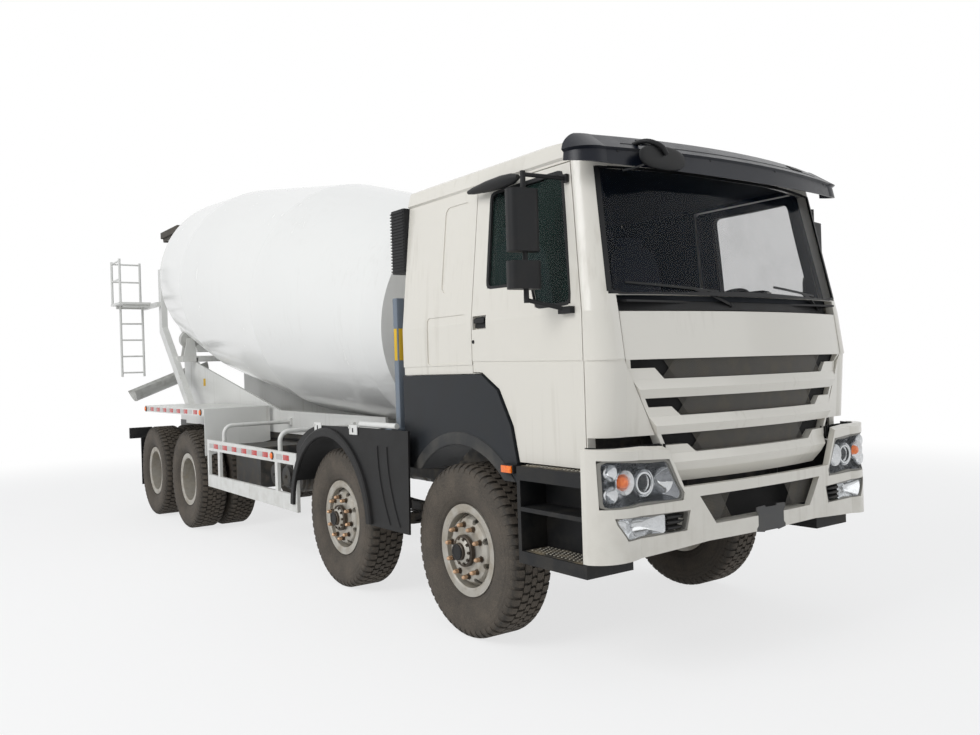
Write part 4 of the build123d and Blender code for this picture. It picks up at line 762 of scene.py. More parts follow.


# behind each slot of the lid: a near-black strip with the slot's outline, painted shade for the open space
# behind the slot, and wires leaning 0.8 of its height
def makeGrille():
    back, mesh = [], []
    inset, wire = grilleSizes["backInset"], grilleSizes["wire"]
    for low, end, top in grilleSizes["slots"]:
        topY, endY = slotHalf(top), slotHalf(end)
        deepY = endY - 0.15
        turns = [s * y for s in (-1, 1) for y in (deepY - 0.06, deepY, endY)]
        places = np.unique(np.concatenate([np.linspace(-topY, topY, 61), turns]))
        edge = np.interp(np.abs(places), [0, deepY - 0.06, deepY, endY, topY],
                         [low, low, end, end, top - 0.004])
        back.append(strip(places, edge, np.full(len(places), top), cabFront, inset, inset + 0.004))
        # crossed wires in the deep part
        lean = (top - low) * 0.8
        start = np.arange(-deepY + 0.06, deepY - 0.06 - lean, grilleSizes["wireGap"])
        for way in (1, -1):
            first = cabFront(way * start, np.full(len(start), low + 0.002), grilleSizes["wireInset"])
            last = cabFront(way * (start + lean), np.full(len(start), top - 0.002), grilleSizes["wireInset"])
            mesh.append(bars(first, last, wire, wire))
    makePiece("grilleShadeBacking", back, paintedGapShade, "front_lid")
    makePiece("grilleMesh", mesh, meshGrey, "front_lid", 20)


intakeSizes = {
    "louvreY": (0.735, 1.185),
    "louvreZ": (1.225, 1.302),
    "finGap": 0.026,
    "mouthHalf": (0.44, 0.58),  # half width at the foot and at the top
    "mouthZ": (0.80, 1.02, 1.03),
    "wireY": (0.30, 0.56),
    "wireZ": (0.845, 0.995),
    "holder": [(-0.10, 0.742), (-0.03, 0.732), (-0.03, 0.738), (0.10, 0.738), (0.10, 0.732), (0.17, 0.742),
               (0.17, 0.760), (0.155, 0.775), (0.155, 0.840), (0.170, 0.860), (0.170, 0.884), (0.09, 0.888),
               (0.085, 0.876), (-0.015, 0.876), (-0.02, 0.888), (-0.10, 0.884), (-0.10, 0.860),
               (-0.085, 0.84), (-0.085, 0.775), (-0.10, 0.760)],
}


# bumper openings: louvres at the upper ends over a floor of painted shade, the lower mouth with a back of
# painted shade, wires and ledge
def makeIntakes():
    louvre, fins, wires = [], [], []
    footZ, shoulderZ, topZ = intakeSizes["mouthZ"]
    for side in (1, -1):
        # openings at the bumper's upper ends: a near-black floor, painted shade in the opening, with upright
        # fins
        y = np.linspace(*intakeSizes["louvreY"], 12)
        low, high = (np.full(12, z) for z in intakeSizes["louvreZ"])
        louvre.append(strip(side * y, low, high, bumperFront, 0.075, 0.082))
        y = np.arange(0.75, 1.18, intakeSizes["finGap"])
        foot, head = (bumperFront(side * y, np.full(len(y), z), 0.062) for z in (1.232, 1.300))
        fins.append(bars(foot, head, 0.005, 0.022))
        # wire mesh at both ends of the lower mouth
        start = np.arange(*intakeSizes["wireY"], 0.010)
        low, high = (np.full(len(start), z) for z in intakeSizes["wireZ"])
        for way in (1, -1):
            foot = bumperFront(side * (start - way * 0.045), low, 0.060)
            head = bumperFront(side * np.minimum(start + way * 0.045, 0.58), high, 0.060)
            wires.append(bars(foot, head, 0.0028, 0.0028))
    makePiece("louvreShadeFloor", louvre, paintedGapShade, "chassis")
    makePiece("louvreFins", fins, trimBlack, "chassis", 20)
    footY, endY = intakeSizes["mouthHalf"]
    y = np.linspace(-endY, endY, 41)
    edge = np.interp(np.abs(y), [0, footY, endY], [footZ, footZ, shoulderZ])
    # near-black back of the lower mouth: painted shade behind the wires
    mouthShadeBack = strip(y, edge, np.full(41, topZ), bumperFront, 0.130, 0.136)
    makePiece("intakeShadeBacking", [mouthShadeBack], paintedGapShade, "chassis")
    makePiece("intakeMesh", wires, meshGrey, "chassis", 20)
    low, high = np.full(9, footZ), np.full(9, 0.834)
    ledge = strip(np.linspace(-footY, footY, 9), low, high, bumperFront, 0.040, 0.100)
    makePiece("intakeLedge", [ledge], cabWhite, "chassis", slotName="cab_paint")


# the bare number plate's holder stands upright at the bumper's nose
def upright(y, z, inset):
    return np.stack([bumperSizes["nose"] - inset + 0 * y, y, z], -1)


makeGrille()
makeIntakes()
holder = plate(rounded(intakeSizes["holder"], 0.004, 2), upright, 0.0, 0.006)
makePiece("plateHolder", [holder], plateGrey, "chassis")
print("grille and intakes made")

lampSizes = {
    "head": [(1.212, 0.985), (1.218, 1.242), (0.772, 1.222), (0.704, 1.080), (0.672, 1.030), (0.680, 0.990)],
    "fog": [(1.140, 0.905), (1.150, 0.938), (0.632, 0.930), (0.660, 0.822), (1.080, 0.815)],
    "fogLens": [(1.135, 0.905), (1.130, 0.932), (0.805, 0.928), (0.805, 0.826), (1.072, 0.820)],
    # bowls inside the headlamp: y, z, radius, what stands in the bowl
    "bowls": [(1.075, 1.120, 0.062, "amber"), (0.935, 1.105, 0.070, "dark"), (0.800, 1.110, 0.068, None),
              (1.150, 1.175, 0.040, None), (1.150, 1.060, 0.042, None)],
    # fins beside the fog lamp: height, far end, half thickness along the fin
    "fins": [(0.905, 0.660), (0.876, 0.652), (0.846, 0.668)],
    "finHalf": (0.0105, 0.0105, 0.0085, 0.001),
}


# a shell laid behind an outline: inset = rim + depth * (1 - share^power), 3 mm thick
def dish(outline, surface, rim, depth, power, rings=9):
    middle = outline.mean(0)
    share = np.linspace(0, 1, rings + 1)
    rows = []
    for extra, order in ((0.0, share), (0.003, share[::-1])):
        for s in order:
            flat = middle + s * (outline - middle)
            rows.append(surface(flat[:, 0], flat[:, 1], rim + depth * (1 - s ** power) + extra))
    return sheet(np.array(rows), closeColumns=True)


# a turned bowl: depth * (1 - share^2) behind its rim
def bowl(centre, radius, depth):
    share = np.linspace(0, 1, 8)
    profile = [(-depth * (1 - v ** 2), radius * v) for v in share]
    profile += [(0.003, radius + 0.003), (-0.01, radius + 0.004)]
    profile += [(-depth * (1 - v ** 2) - 0.004, (radius + 0.004) * v) for v in share[::-1]]
    return lathe(profile, centre, (1, 0, 0), 32)


# a fin beside the fog lamp: an oval section carried along its path, thin at the far end
def lampFin(z, far):
    stops = ((0.80, 0.010), (0.74, 0.010), (0.70, 0.014), (far, 0.030))
    path = np.array([bumperFront(y, z, inset) for y, inset in stops])
    angle = np.linspace(0, 2 * np.pi, 12, endpoint=False)
    ring = np.stack([np.cos(angle) * 1.6 - 0.6, 0 * angle, np.sin(angle)], -1)
    rows = path[:, None] + np.array(lampSizes["finHalf"])[:, None, None] * ring
    poles = [path[end][None, None] + 0 * rows[:1] for end in (0, -1)]
    return sheet(np.concatenate([poles[0], rows, poles[1]]), closeColumns=True)


# head and fog lamps of the left side, every part copied to y = -y
def makeFrontLamps():
    headMiddle, fogMiddle, fogLensMiddle = (np.array(p) for p in ((0.93, 1.11), (0.90, 0.875), (0.96, 0.875)))
    head = fan(rounded(lampSizes["head"], 0.030, 4), headMiddle)
    fog = fan(rounded(lampSizes["fog"], 0.020, 4), fogMiddle)
    headLens = drawnIn(head, headMiddle, 0.017)
    fogLens = fan(rounded(lampSizes["fogLens"], 0.014, 4), fogLensMiddle)
    rings = [dish(fogLens, bumperFront, 0.014, 0.045, 2.5)]
    bulbs = {"amber": [], "dark": []}
    for y, z, radius, bulb in lampSizes["bowls"]:
        x = bumperFront(y, z, 0.020)[0]
        rings.append(bowl((x, y, z), radius, radius * 0.75))
        if bulb == "amber":
            bulbs["amber"].append(pillow((x - 0.020, y, z), (0.030, 0.031, 0.030), 2.2))
        if bulb == "dark":
            bulbs["dark"].append(pillow((x - 0.030, y, z), (0.034, 0.046, 0.046), 2.0))
            section = [(-0.01, 0.050), (0.004, 0.050), (0.004, 0.060), (-0.01, 0.060), (-0.01, 0.050)]
            rings.append(lathe(section, (x, y, z), (1, 0, 0), 40))
    groups = {
        "lens": (lensClear, [
            plate(headLens, bumperFront, 0.0045, 0.009, 8), plate(fogLens, bumperFront, 0.008, 0.012)]),
        "bezel": (bezelGrey, [
            band(drawnIn(head, headMiddle, 0.002), headLens, bumperFront, 0.003, 0.035),
            band(drawnIn(fog, fogMiddle, 0.002), drawnIn(fog, fogMiddle, 0.012), bumperFront, 0.004, 0.035)]),
        "bright": (reflectorGrey, [dish(headLens, bumperFront, 0.020, 0.060, 5)]),
        "black": (trimBlack, [plate(drawnIn(fog, fogMiddle, 0.008), bumperFront, 0.072, 0.078, 4)]
                  + [lampFin(*fin) for fin in lampSizes["fins"]]),
        "amber": (amberGlow, bulbs["amber"]),
        "dark": (lensDark, bulbs["dark"]),
        "ring": (chrome, rings),
    }
    for name, (finish, group) in groups.items():
        makePiece("lamp_" + name, group + [mirrored(part) for part in group], finish, "chassis", 40,
                  slotName="lamp_lens", replaces=["lamps"] if name == "lens" else ())


tailSizes = {
    "x": -4.570,
    "z": 0.980,
    "lensY": {"White": (0.895, 0.985), "Red": (0.995, 1.085), "Amber": (1.095, 1.185)},
}


# tail lamps: a dark tray on its bracket with three coloured lenses
def makeTailLamps():
    x, z = tailSizes["x"], tailSizes["z"]
    tray = []
    for side in (1, -1):
        tray.append(block((x - 0.008, side * 0.885, z - 0.075), (x + 0.035, side * 1.195, z + 0.075),
                          0.010, 0.004))
        tray.append(block((x, side * 0.4254, z - 0.020), (x + 0.040, side * 0.895, z + 0.020)))
    makePiece("tailTray", tray, trimBlack, "chassis")
    for colour, finish in (("Red", redGlow), ("Amber", amberGlow), ("White", bezelGrey)):
        middle = sum(tailSizes["lensY"][colour]) / 2
        lenses = [pillow((x, side * middle, z), (0.010, 0.043, 0.062), 5) for side in (1, -1)]
        makePiece("tail" + colour, lenses, finish, "chassis", slotName="lamp_lens")


makeFrontLamps()
makeTailLamps()
print("lamps made")

liningSizes = {
    "inset": 0.0465,  # just inside the shell's wall
    "rear": [(-1.095, 1.715), (1.095, 1.715), (1.095, 2.03), (1.005, 2.90), (0.985, 2.945), (-0.985, 2.945),
             (-1.005, 2.90), (-1.095, 2.03)],
    "roof": [(3.105, -0.99), (4.86, -0.99), (4.93, -0.80), (4.975, -0.40), (4.985, 0), (4.975, 0.40),
             (4.93, 0.80), (4.86, 0.99), (3.105, 0.99)],
    "floor": [(3.105, -1.09), (4.955, -1.09), (4.955, 1.09), (3.105, 1.09)],
    "wall": [(3.105, 1.716), (3.895, 1.716), (3.895, 2.90), (3.105, 2.90)],
    "header": [(3.105, 2.895), (4.80, 2.895), (4.76, 2.95), (3.105, 2.95)],
}
screenSizes = {
    "middle": np.array((0.0, 2.48)),
    # half widths and heights at the foot and the top
    "glass": ((1.045, 2.125), (0.985, 2.850)),
    "hole": ((1.043, 2.127), (0.983, 2.848)),
    "frame": ((1.075, 2.090), (1.000, 2.905)),
}
doorSizes = {
    "window": [(4.862, 2.085), (4.550, 2.085), (4.495, 2.235), (4.062, 2.240), (4.055, 2.838),
               (4.735, 2.846)],
    "windowMiddle": np.array((4.46, 2.50)),
    "door": [(4.950, 1.185), (4.370, 1.185), (4.318, 1.398), (4.186, 1.618), (4.010, 1.722), (3.914, 1.724),
             (3.914, 2.882), (4.796, 2.882), (4.950, 2.035)],
    "handle": ((3.932, 1.998), (4.057, 2.067)),
    "grip": ((3.938, 2.028), (4.050, 2.058)),
    "lock": (3.927, 1.913),
}


# rays to a four-cornered outline round the windscreen's middle
def screenEdge(name):
    (footY, footZ), (topY, topZ) = screenSizes[name]
    return fan([(-footY, footZ), (footY, footZ), (topY, topZ), (-topY, topZ)], screenSizes["middle"], 160)


# upright rectangle between two opposite corners, rounded
def roundedBox(corners, radius):
    (left, low), (right, high) = corners
    return rounded([(left, low), (right, low), (right, high), (left, high)], radius)


# dark lining of the shell: rear wall, roof, floor, sides, and the band round the windscreen
def makeLining():
    inset = liningSizes["inset"]
    lining = [
        slab(liningSizes["rear"], (3.102, 0, 0), (0, 1, 0), (0, 0, 1), 0.008),
        slab(liningSizes["roof"], (0, 0, 2.918), (1, 0, 0), (0, 1, 0), 0.010),
        slab(liningSizes["floor"], (0, 0, 1.7105), (1, 0, 0), (0, 1, 0), 0.006),
    ]
    for side in (1, -1):
        for outline in (liningSizes["wall"], liningSizes["header"]):
            lining.append(plate(outline, cabSide(side), inset, inset + 0.0055, 3))
    lining.append(band(screenEdge("frame"), screenEdge("hole"), cabFront, inset, inset + 0.006))
    makePiece("cabLining", lining, liningDark, "cab", slotName="seat_cloth")


# trim, window rubber, and the handle in its pocket with the lock under it
def makeDoorFittings(sideName, side):
    surface, body, middle = cabSide(side), "door_" + sideName, doorSizes["windowMiddle"]
    window = fan(rounded(doorSizes["window"], 0.045, 5), middle, 128)
    trim = band(fan(doorSizes["door"], middle, 128), window, surface, 0.0465, 0.053)
    makePiece(f"doorTrim_{sideName}", [trim], liningDark, body, slotName="seat_cloth")
    outer, inner, deep = (drawnIn(window, middle, gap) for gap in (-0.010, 0.014, 0.016))
    rubbers = [band(outer, inner, surface, -0.0015, 0.0135), band(window, deep, surface, 0.0205, 0.046)]
    makePiece(f"windowRubber_{sideName}", rubbers, trimBlack, body, 30)
    lockX, lockZ = doorSizes["lock"]
    handle = [plate(roundedBox(doorSizes["handle"], 0.010), surface, 0.014, 0.0252),
              plate(roundedBox(doorSizes["grip"], 0.010), surface, -0.003, 0.012),
              lathe([(0, 0), (0, 0.012), (0.004, 0.012), (0.006, 0.009), (0.006, 0.004), (0.005, 0)],
                    (lockX, side * 1.1495, lockZ), (0, side, 0), 20)]
    makePiece(f"doorHandle_{sideName}", handle, trimBlack, body, 30)


makeLining()
for sideName, side in (("left", 1), ("right", -1)):
    makeDoorFittings(sideName, side)
outer, inner = (drawnIn(screenEdge("glass"), screenSizes["middle"], gap) for gap in (-0.008, 0.022))
makePiece("screenRubber", [band(outer, inner, cabFront, -0.001, 0.0095)], trimBlack, "cab", 30)
print("cab lined, doors and windscreen trimmed")

seatSizes = {
    "seatY": 0.56,
    "lean": (-0.15, 0, 1),
    # middle x and z, half lengths, squareness
    "cushion": (4.065, 2.026, (0.245, 0.235, 0.066), 4.5),
    "back": (3.700, 2.345, (0.062, 0.232, 0.300), 3.6),
    "headrest": (3.628, 2.670, (0.034, 0.130, 0.050), 3.0),
}


# two seats: cushion, leaning back and headrest, each an egg shape squared off
def makeSeats():
    lean, across = unit(seatSizes["lean"]), (0, 1, 0)
    leaning = (np.cross(across, lean), across, lean)
    cushions = []
    for side in (1, -1):
        for name in ("cushion", "back", "headrest"):
            x, z, half, power = seatSizes[name]
            place = (x, side * seatSizes["seatY"], z)
            if name == "back":
                cushions.append(pillow(place, half, power, frameOf=leaning))
            else:
                cushions.append(pillow(place, half, power))
    makePiece("seatCushions", cushions, seatWeave, "cab", 60, replaces=["seats"])


wiperSizes = {
    # pivot, blade tip, blade end: y and z
    "wipers": [((-0.14, 2.072), (-0.46, 2.158), (-0.92, 2.192), (-0.28, 2.146)),
               ((0.87, 2.072), (0.58, 2.158), (0.25, 2.185), (0.74, 2.146))],
    "bladeHalf": 0.007,
    "armHalf": 0.009,
}


# flat strips on the glass: z runs straight from end to end, and the inset follows the step from cowl to glass
def makeWipers():
    wipers = []
    for pivot, heel, tip, far in wiperSizes["wipers"]:
        for start, end, half in ((tip, far, wiperSizes["bladeHalf"]), (pivot, heel, wiperSizes["armHalf"])):
            y = np.linspace(start[0], end[0], 24)
            (lowY, lowZ), (highY, highZ) = sorted((start, end))
            z = np.interp(y, (lowY, highY), (lowZ, highZ))
            deep = np.interp(z, [2.070, 2.126], [0.046, 0.0032])
            wipers.append(strip(y, z - half, z + half, cabFront, deep, deep + 0.006, 1))
        wipers.append(lathe([(-0.012, 0), (-0.012, 0.018), (0.010, 0.016), (0.016, 0.010), (0.017, 0)],
                            cabFront(*pivot, 0.056), (0.9, 0, 0.4), 20))
    makePiece("wipers", wipers, trimBlack, "cab", 30)


visorSizes = {
    "outer": -0.1245,  # how far its face stands ahead of the cab's front
    "slots": ((0.61, 2.968), (0.75, 3.002)),
    "seam": (0.90, 2.955),
    "screwY": (-0.95, -0.30, 0.30, 0.95),
    "screwZ": 2.90,
}


# slots, seam and screws of the sun visor
def makeVisorFittings():
    (slotY, slotLow), (slotEnd, slotHigh) = visorSizes["slots"]
    bits = []
    for side in (1, -1):
        slot = roundedBox(((side * slotY, slotLow), (side * slotEnd, slotHigh)), 0.008)
        bits.append(plate(slot, cabFront, -0.132, -0.120))
    half, z = visorSizes["seam"]
    bits.append(tube(cabFront(np.linspace(-half, half, 50), z, visorSizes["outer"]), 0.0022, 6))
    for y in visorSizes["screwY"]:
        place = cabFront(y, visorSizes["screwZ"], visorSizes["outer"] + 0.0005)
        bits.append(lathe([(-0.004, 0), (-0.004, 0.007), (0.002, 0.006), (0.003, 0)], place, (1, 0, 0), 12))
    makePiece("visorFittings", bits, trimBlack, "cab", 30)


mirrorSizes = {
    "front": (-0.695, 2.872),
    "frontHalf": (0.024, 0.180, 0.066),
    "frontArm": [(4.98, -0.80, 2.955), (5.13, -0.80, 2.965), (5.19, -0.74, 2.930), (5.19, -0.70, 2.885)],
    "frontStay": [(5.165, -0.86, 2.815), (5.175, -0.93, 2.790), (5.14, -0.99, 2.775)],
    # kerb mirror: (distance along it, radius) from its rear tip
    "kerb": [(0.0, 0), (0.004, 0.012), (0.06, 0.022), (0.22, 0.036), (0.36, 0.040), (0.46, 0.034),
             (0.52, 0.016), (0.525, 0)],
    "kerbPlace": (3.89, -1.128, 2.868),
    "kerbStays": (4.05, 4.30),
    # door mirrors: foot, top, width
    "glasses": ((2.378, 2.722, 0.185), (2.172, 2.326, 0.195)),
    "turn": 12,
}


# front mirror on its arm, kerb mirror on two stays, and the panes of the door mirrors turned outward
def makeMirrors():
    arm = tube(rounded(mirrorSizes["frontArm"], 0.05, 5, False), 0.014, 10)
    front = pillow(cabFront(*mirrorSizes["front"], -0.155), mirrorSizes["frontHalf"], 2.4)
    makePiece("frontMirror", [front, arm, tube(mirrorSizes["frontStay"], 0.006, 8)], trimBlack, "cab", 40)
    kerb = [lathe(mirrorSizes["kerb"], mirrorSizes["kerbPlace"], (1, 0, 0), 24)]
    z = mirrorSizes["kerbPlace"][2]
    kerb += [tube([(x, -1.060, z), (x, -1.115, z)], 0.012, 8) for x in mirrorSizes["kerbStays"]]
    makePiece("kerbMirror", kerb, trimBlack, "cab", 40)
    for sideName, side in (("left", 1), ("right", -1)):
        turn = np.radians(side * mirrorSizes["turn"])
        back = np.array((-np.cos(turn), -np.sin(turn), 0))
        across = (-np.sin(turn), np.cos(turn), 0)
        glasses = []
        for low, high, width in mirrorSizes["glasses"]:
            middle = np.array((4.705, side * 1.340, (low + high) / 2)) + back * 0.0465
            outline = rectangle(width - 0.030, high - low - 0.028, 0.025)
            glasses.append(slab(outline, middle, across, (0, 0, 1), 0.004))
        makePiece("mirrorGlass_" + sideName, glasses, mirrorSilver, "door_" + sideName)


makeSeats()
makeWipers()
makeVisorFittings()
makeMirrors()
print("cab fitted out")

tapeSizes = {
    "width": 0.135,
    "height": 0.048,
    # x of the red squares, the silver squares and the amber lamps, and their height
    "rows": [
        ([-0.76, -0.485, -0.21, 0.065, 0.34, 0.615, 1.10],
         [-0.9, -0.622, -0.347, -0.072, 0.202, 0.477, 0.945], [0.785], 1.003),
        ([-3.17, -2.89, -2.61, -2.33, -2.05, -1.77, -1.42],
         [-3.03, -2.75, -2.47, -2.19, -1.91, -1.60, -3.31], [-1.23, -3.45], 1.352),
    ],
    "marker": ((4.258, 1.120), (4.355, 1.161)),  # amber lamp on the cab's arch
}


# reflecting tape along the guards and the rear fenders, with amber lamps among it; the red tape's finish
# glows with painted light
def makeTape():
    red, silver, lamps, bases = [], [], [], []
    halfWidth, halfHeight = tapeSizes["width"] / 2, tapeSizes["height"] / 2
    (markX, markLow), (markEnd, markHigh) = tapeSizes["marker"]
    for side in (1, -1):
        for reds, silvers, lampX, z in tapeSizes["rows"]:
            for group, places in ((red, reds), (silver, silvers)):
                for x in places:
                    low = (x - halfWidth, side * (guardY + 0.0002), z - halfHeight)
                    high = (x + halfWidth, side * (guardY + 0.0014), z + halfHeight)
                    group.append(block(low, high, 0.0004, 0.0003))
            for x in lampX:
                bases.append(lathe([(0, 0), (0, 0.036), (0.006, 0.036), (0.009, 0.031), (0.009, 0)],
                                   (x, side * guardY, z), (0, side, 0), 28))
                lamps.append(pillow((x, side * (guardY + 0.009), z), (0.029, 0.012, 0.029), 2.2, (12, 24)))
        lamps.append(block((markX, side * 1.1980, markLow), (markEnd, side * 1.2110, markHigh), 0.004))
        bases.append(block((markX - 0.006, side * 1.1600, markLow - 0.006),
                           (markEnd + 0.006, side * 1.1985, markHigh + 0.006), 0.004))
    makePiece("redTape", red, redTapeFinish, "chassis", slotName="lamp_lens")
    makePiece("silverTape", silver, silverTapeFinish, "chassis", slotName="lamp_lens")
    makePiece("sideLamps", lamps, amberGlow, "chassis", slotName="lamp_lens")
    makePiece("sideLampBases", bases, trimBlack, "chassis")


stepSizes = {
    # height, inner and outer y, rear and front x of each tread
    "treads": [(0.672, 1.020, 1.192, 4.455, 4.950), (1.165, 0.900, 1.192, 4.430, 4.970)],
    "studGap": (0.033, 0.030),
    "stud": [(0, 0.0095), (0.003, 0.0085), (0.0045, 0.0060), (0.0030, 0.0040), (0.0030, 0)],
}


# steps: pressed treads with rows of studs, every other row moved on by half a gap
def makeSteps():
    treads, studs = [], []
    gapX, gapY = stepSizes["studGap"]
    for side in (1, -1):
        for z, yIn, yOut, rear, front in stepSizes["treads"]:
            treads.append(block((rear, side * yIn, z), (front, side * yOut, z + 0.004), 0.006, 0.0015))
            xs = np.arange(rear + 0.025, front - 0.02, gapX)
            xs = xs[xs + 0.017 < front - 0.01]
            places = [(x + gapX / 2 * (row % 2), side * y, 0.0)
                      for row, y in enumerate(np.arange(yIn + 0.020, yOut - 0.015, gapY)) for x in xs]
            studs.append(repeat(lathe(stepSizes["stud"], (0, 0, z + 0.004), (0, 0, 1), 10), places))
    makePiece("stepTreads", treads, treadDusty, "chassis")
    makePiece("stepStuds", studs, studWorn, "chassis", 40)


archSizes = {
    "cabFaceY": 1.160,
    "footZ": 1.063,
    # section of the cab arch's lip: (radius, distance out of the face)
    "cabLip": [(0.692, -0.001), (0.692, 0.006), (0.698, 0.010), (0.762, 0.010), (0.771, 0.006),
               (0.775, -0.001)],
    # section of the lip on the second axle's guard
    "guardLip": [(0.669, -0.001), (0.669, 0.018), (0.675, 0.024), (0.725, 0.024), (0.738, 0.016),
                 (0.742, -0.001)],
    "ridges": (0.845, 0.985),
    "brackets": (1.80, 2.43),
}


# lip round a wheel: x = axle + radius * cos(angle), z = axle height + radius * sin(angle), y out of the face;
# each row runs from the foot on one side to the foot on the other
def archLip(section, x, side, faceY, feet, steps):
    rows = []
    for (radius, out), foot in zip(section, feet):
        angles = np.linspace(foot, math.pi - foot, steps)
        rows.append(np.stack([x + radius * np.cos(angles), np.full(steps, side * (faceY + out)),
                              axleZ + radius * np.sin(angles)], -1))
    return sheet(capped(np.array(rows)), closeRows=True)


# lips round the two front wheels, and what the second axle's guard carries: ridges, brackets, tube
def makeArchTrim():
    cabLips, lips, brackets, holeShades, tubes = [], [], [], [], []
    feet = [math.asin((archSizes["footZ"] - axleZ) / radius) for radius, _ in archSizes["cabLip"]]
    for side in (1, -1):
        cabLips.append(archLip(archSizes["cabLip"], axleX["front"], side, archSizes["cabFaceY"], feet, 48))
        lips.append(archLip(archSizes["guardLip"], axleX["second"], side, guardY, [math.radians(4)] * 6, 60))
        # ridges pressed into the guard: x = start + 0.16 t^2, z = 1.20 - 0.56 t
        for shift in archSizes["ridges"]:
            t = np.linspace(0, 1, 16)
            ridgeX, ridgeY = axleX["second"] + shift + 0.16 * t ** 2, np.full(16, side * (guardY + 0.0005))
            lips.append(tube(np.stack([ridgeX, ridgeY, 1.20 - 0.56 * t], -1), 0.006, 8))
        inner, outer = side * (guardY + 0.0002), side * (guardY + 0.011)
        for x in archSizes["brackets"]:
            brackets.append(block((x - 0.065, inner, 1.268), (x + 0.065, outer, 1.342), 0.010))
            # holes in the brackets: thin near-black blocks, painted shade in the holes
            holeShades.append(block((x - 0.010, outer - side * 0.0005, 1.285),
                               (x + 0.010, outer + side * 0.0004, 1.318), 0.002, 0.0003))
            brackets.append(lathe([(0, 0), (0, 0.011), (0.008, 0.010), (0.009, 0)], (x - 0.048, outer, 1.322),
                                  (0, side, 0), 6))
        tubes.append(tube([(x, side * 1.222, 1.350) for x in (2.50, 2.75, 3.05)], 0.021, 16))
    makePiece("archLips", cabLips, lipGrey, "cab", 30)
    makePiece("guardLips", lips, guardBlack, "chassis", 30)
    makePiece("guardBrackets", brackets, bodyWhite, "chassis")
    makePiece("bracketHoleShade", holeShades, paintedGapShade, "chassis")
    makePiece("guardTubes", tubes, bodyWhite, "chassis")


tankSizes = {
    "airX": (0.190, 0.480, 0.770),
    "airRadius": 0.1195,
    "airStrapY": (-0.93, -0.74, -0.56),
    "airZ": 0.760,
    "fuelX": (0.250, 0.550, 0.850),
    "fuel": (0.815, 0.820),  # middle y and z
    "fuelStrap": (0.604, 0.524),
    "fuelCap": (0.92, 0.93, 1.079),
}
hoseSizes = {
    "railY": 0.4255,
    "ends": (-4.3, 2.6),
    "hoses": ((1.02, 0.012), (0.965, 0.016), (0.930, 0.010)),  # height, distance out of the rail
    "sway": 0.012,
}


# straps round the air tanks and the fuel tank, drain plugs and the filler cap
def makeTankStraps():
    straps = []
    radius, z = tankSizes["airRadius"], tankSizes["airZ"]
    for x in tankSizes["airX"]:
        for y in tankSizes["airStrapY"]:
            ring = [(-0.012, radius), (-0.012, radius + 0.004), (0.012, radius + 0.004), (0.012, radius),
                    (-0.012, radius)]
            straps.append(lathe(ring, (x, y, z), (0, 1, 0), 48))
        plug = [(0, 0), (0, 0.016), (0.012, 0.016), (0.016, 0.011), (0.020, 0)]
        straps.append(lathe(plug, (x, -0.986, z), (0, -1, 0), 6))
    ring = rectangle(*tankSizes["fuelStrap"], 0.09)
    y, z = tankSizes["fuel"]
    for x in tankSizes["fuelX"]:
        rows = [np.stack([np.full(len(ring), x + dx), y + ring[:, 0] * grow, z + ring[:, 1] * grow], -1)
                for dx, grow in ((-0.022, 0.99), (-0.022, 1.0), (0.022, 1.0), (0.022, 0.99))]
        straps.append(sheet(np.array(rows), closeRows=True, closeColumns=True))
    cap = [(0, 0), (0, 0.055), (0.022, 0.055), (0.030, 0.045), (0.031, 0)]
    straps.append(lathe(cap, tankSizes["fuelCap"], (0, 0, 1), 32))
    makePiece("tankStraps", straps, castDark, "chassis")


# hoses along the rails: z = height + sway * sin(3.1 x + 40 height)
def makeHoses():
    hoses = []
    x = np.linspace(*hoseSizes["ends"], 90)
    for side in (1, -1):
        for height, out in hoseSizes["hoses"]:
            y = np.full(90, side * (hoseSizes["railY"] + out))
            z = height + hoseSizes["sway"] * np.sin(x * 3.1 + height * 40)
            hoses.append(tube(np.stack([x, y, z], -1), out * 0.8, 8))
    makePiece("frameHoses", hoses, trimBlack, "chassis")


postSizes = {"x": (2.915, 2.975), "y": (-1.150, -1.085), "z": (1.330, 2.270), "patchZ": (1.820, 2.050)}
cabIntakeSizes = {
    "rear": 2.865,
    "outer": -1.115,
    "front": 3.0485,
    "inner": -0.900,
    "z": (2.450, 2.910),
    "finGap": 0.022,
}
collarSizes = {
    "middleX": -4.82103,
    "size": (0.845, 0.980),
    "topZ": 3.920,
    # height from the top, growth beyond the hopper's mouth
    "rows": [(-0.115, -0.030), (-0.061, -0.0285), (-0.0605, 0.001), (0.0298, 0.0015), (0.0298, -0.021),
             (-0.050, -0.024)],
}


# post behind the cab, with bare yellow patches on it and at the rear
def makePost():
    (rear, front), (outer, inner), (low, high) = (postSizes[key] for key in ("x", "y", "z"))
    post = [block((rear, outer, low), (front, inner, high), 0.006),
            block((rear - 0.015, -1.236, 1.300), (front + 0.015, -1.080, 1.3295), 0.006)]
    makePiece("rearPost", post, postGrey, "chassis")
    foot, head = postSizes["patchZ"]
    corners = [((rear + 0.010, outer - 0.0015, foot), (front - 0.010, outer - 0.0002, head)),
               ((front + 0.0002, outer + 0.010, foot), (front + 0.0015, inner - 0.010, head))]
    corners += [((-3.560, side * 0.4512, 1.62), (-3.470, side * 0.4525, 1.72)) for side in (1, -1)]
    patches = [block(low, high, 0.0004, 0.0003) for low, high in corners]
    makePiece("yellowPatches", patches, patchYellow, "chassis", slotName="body_paint")


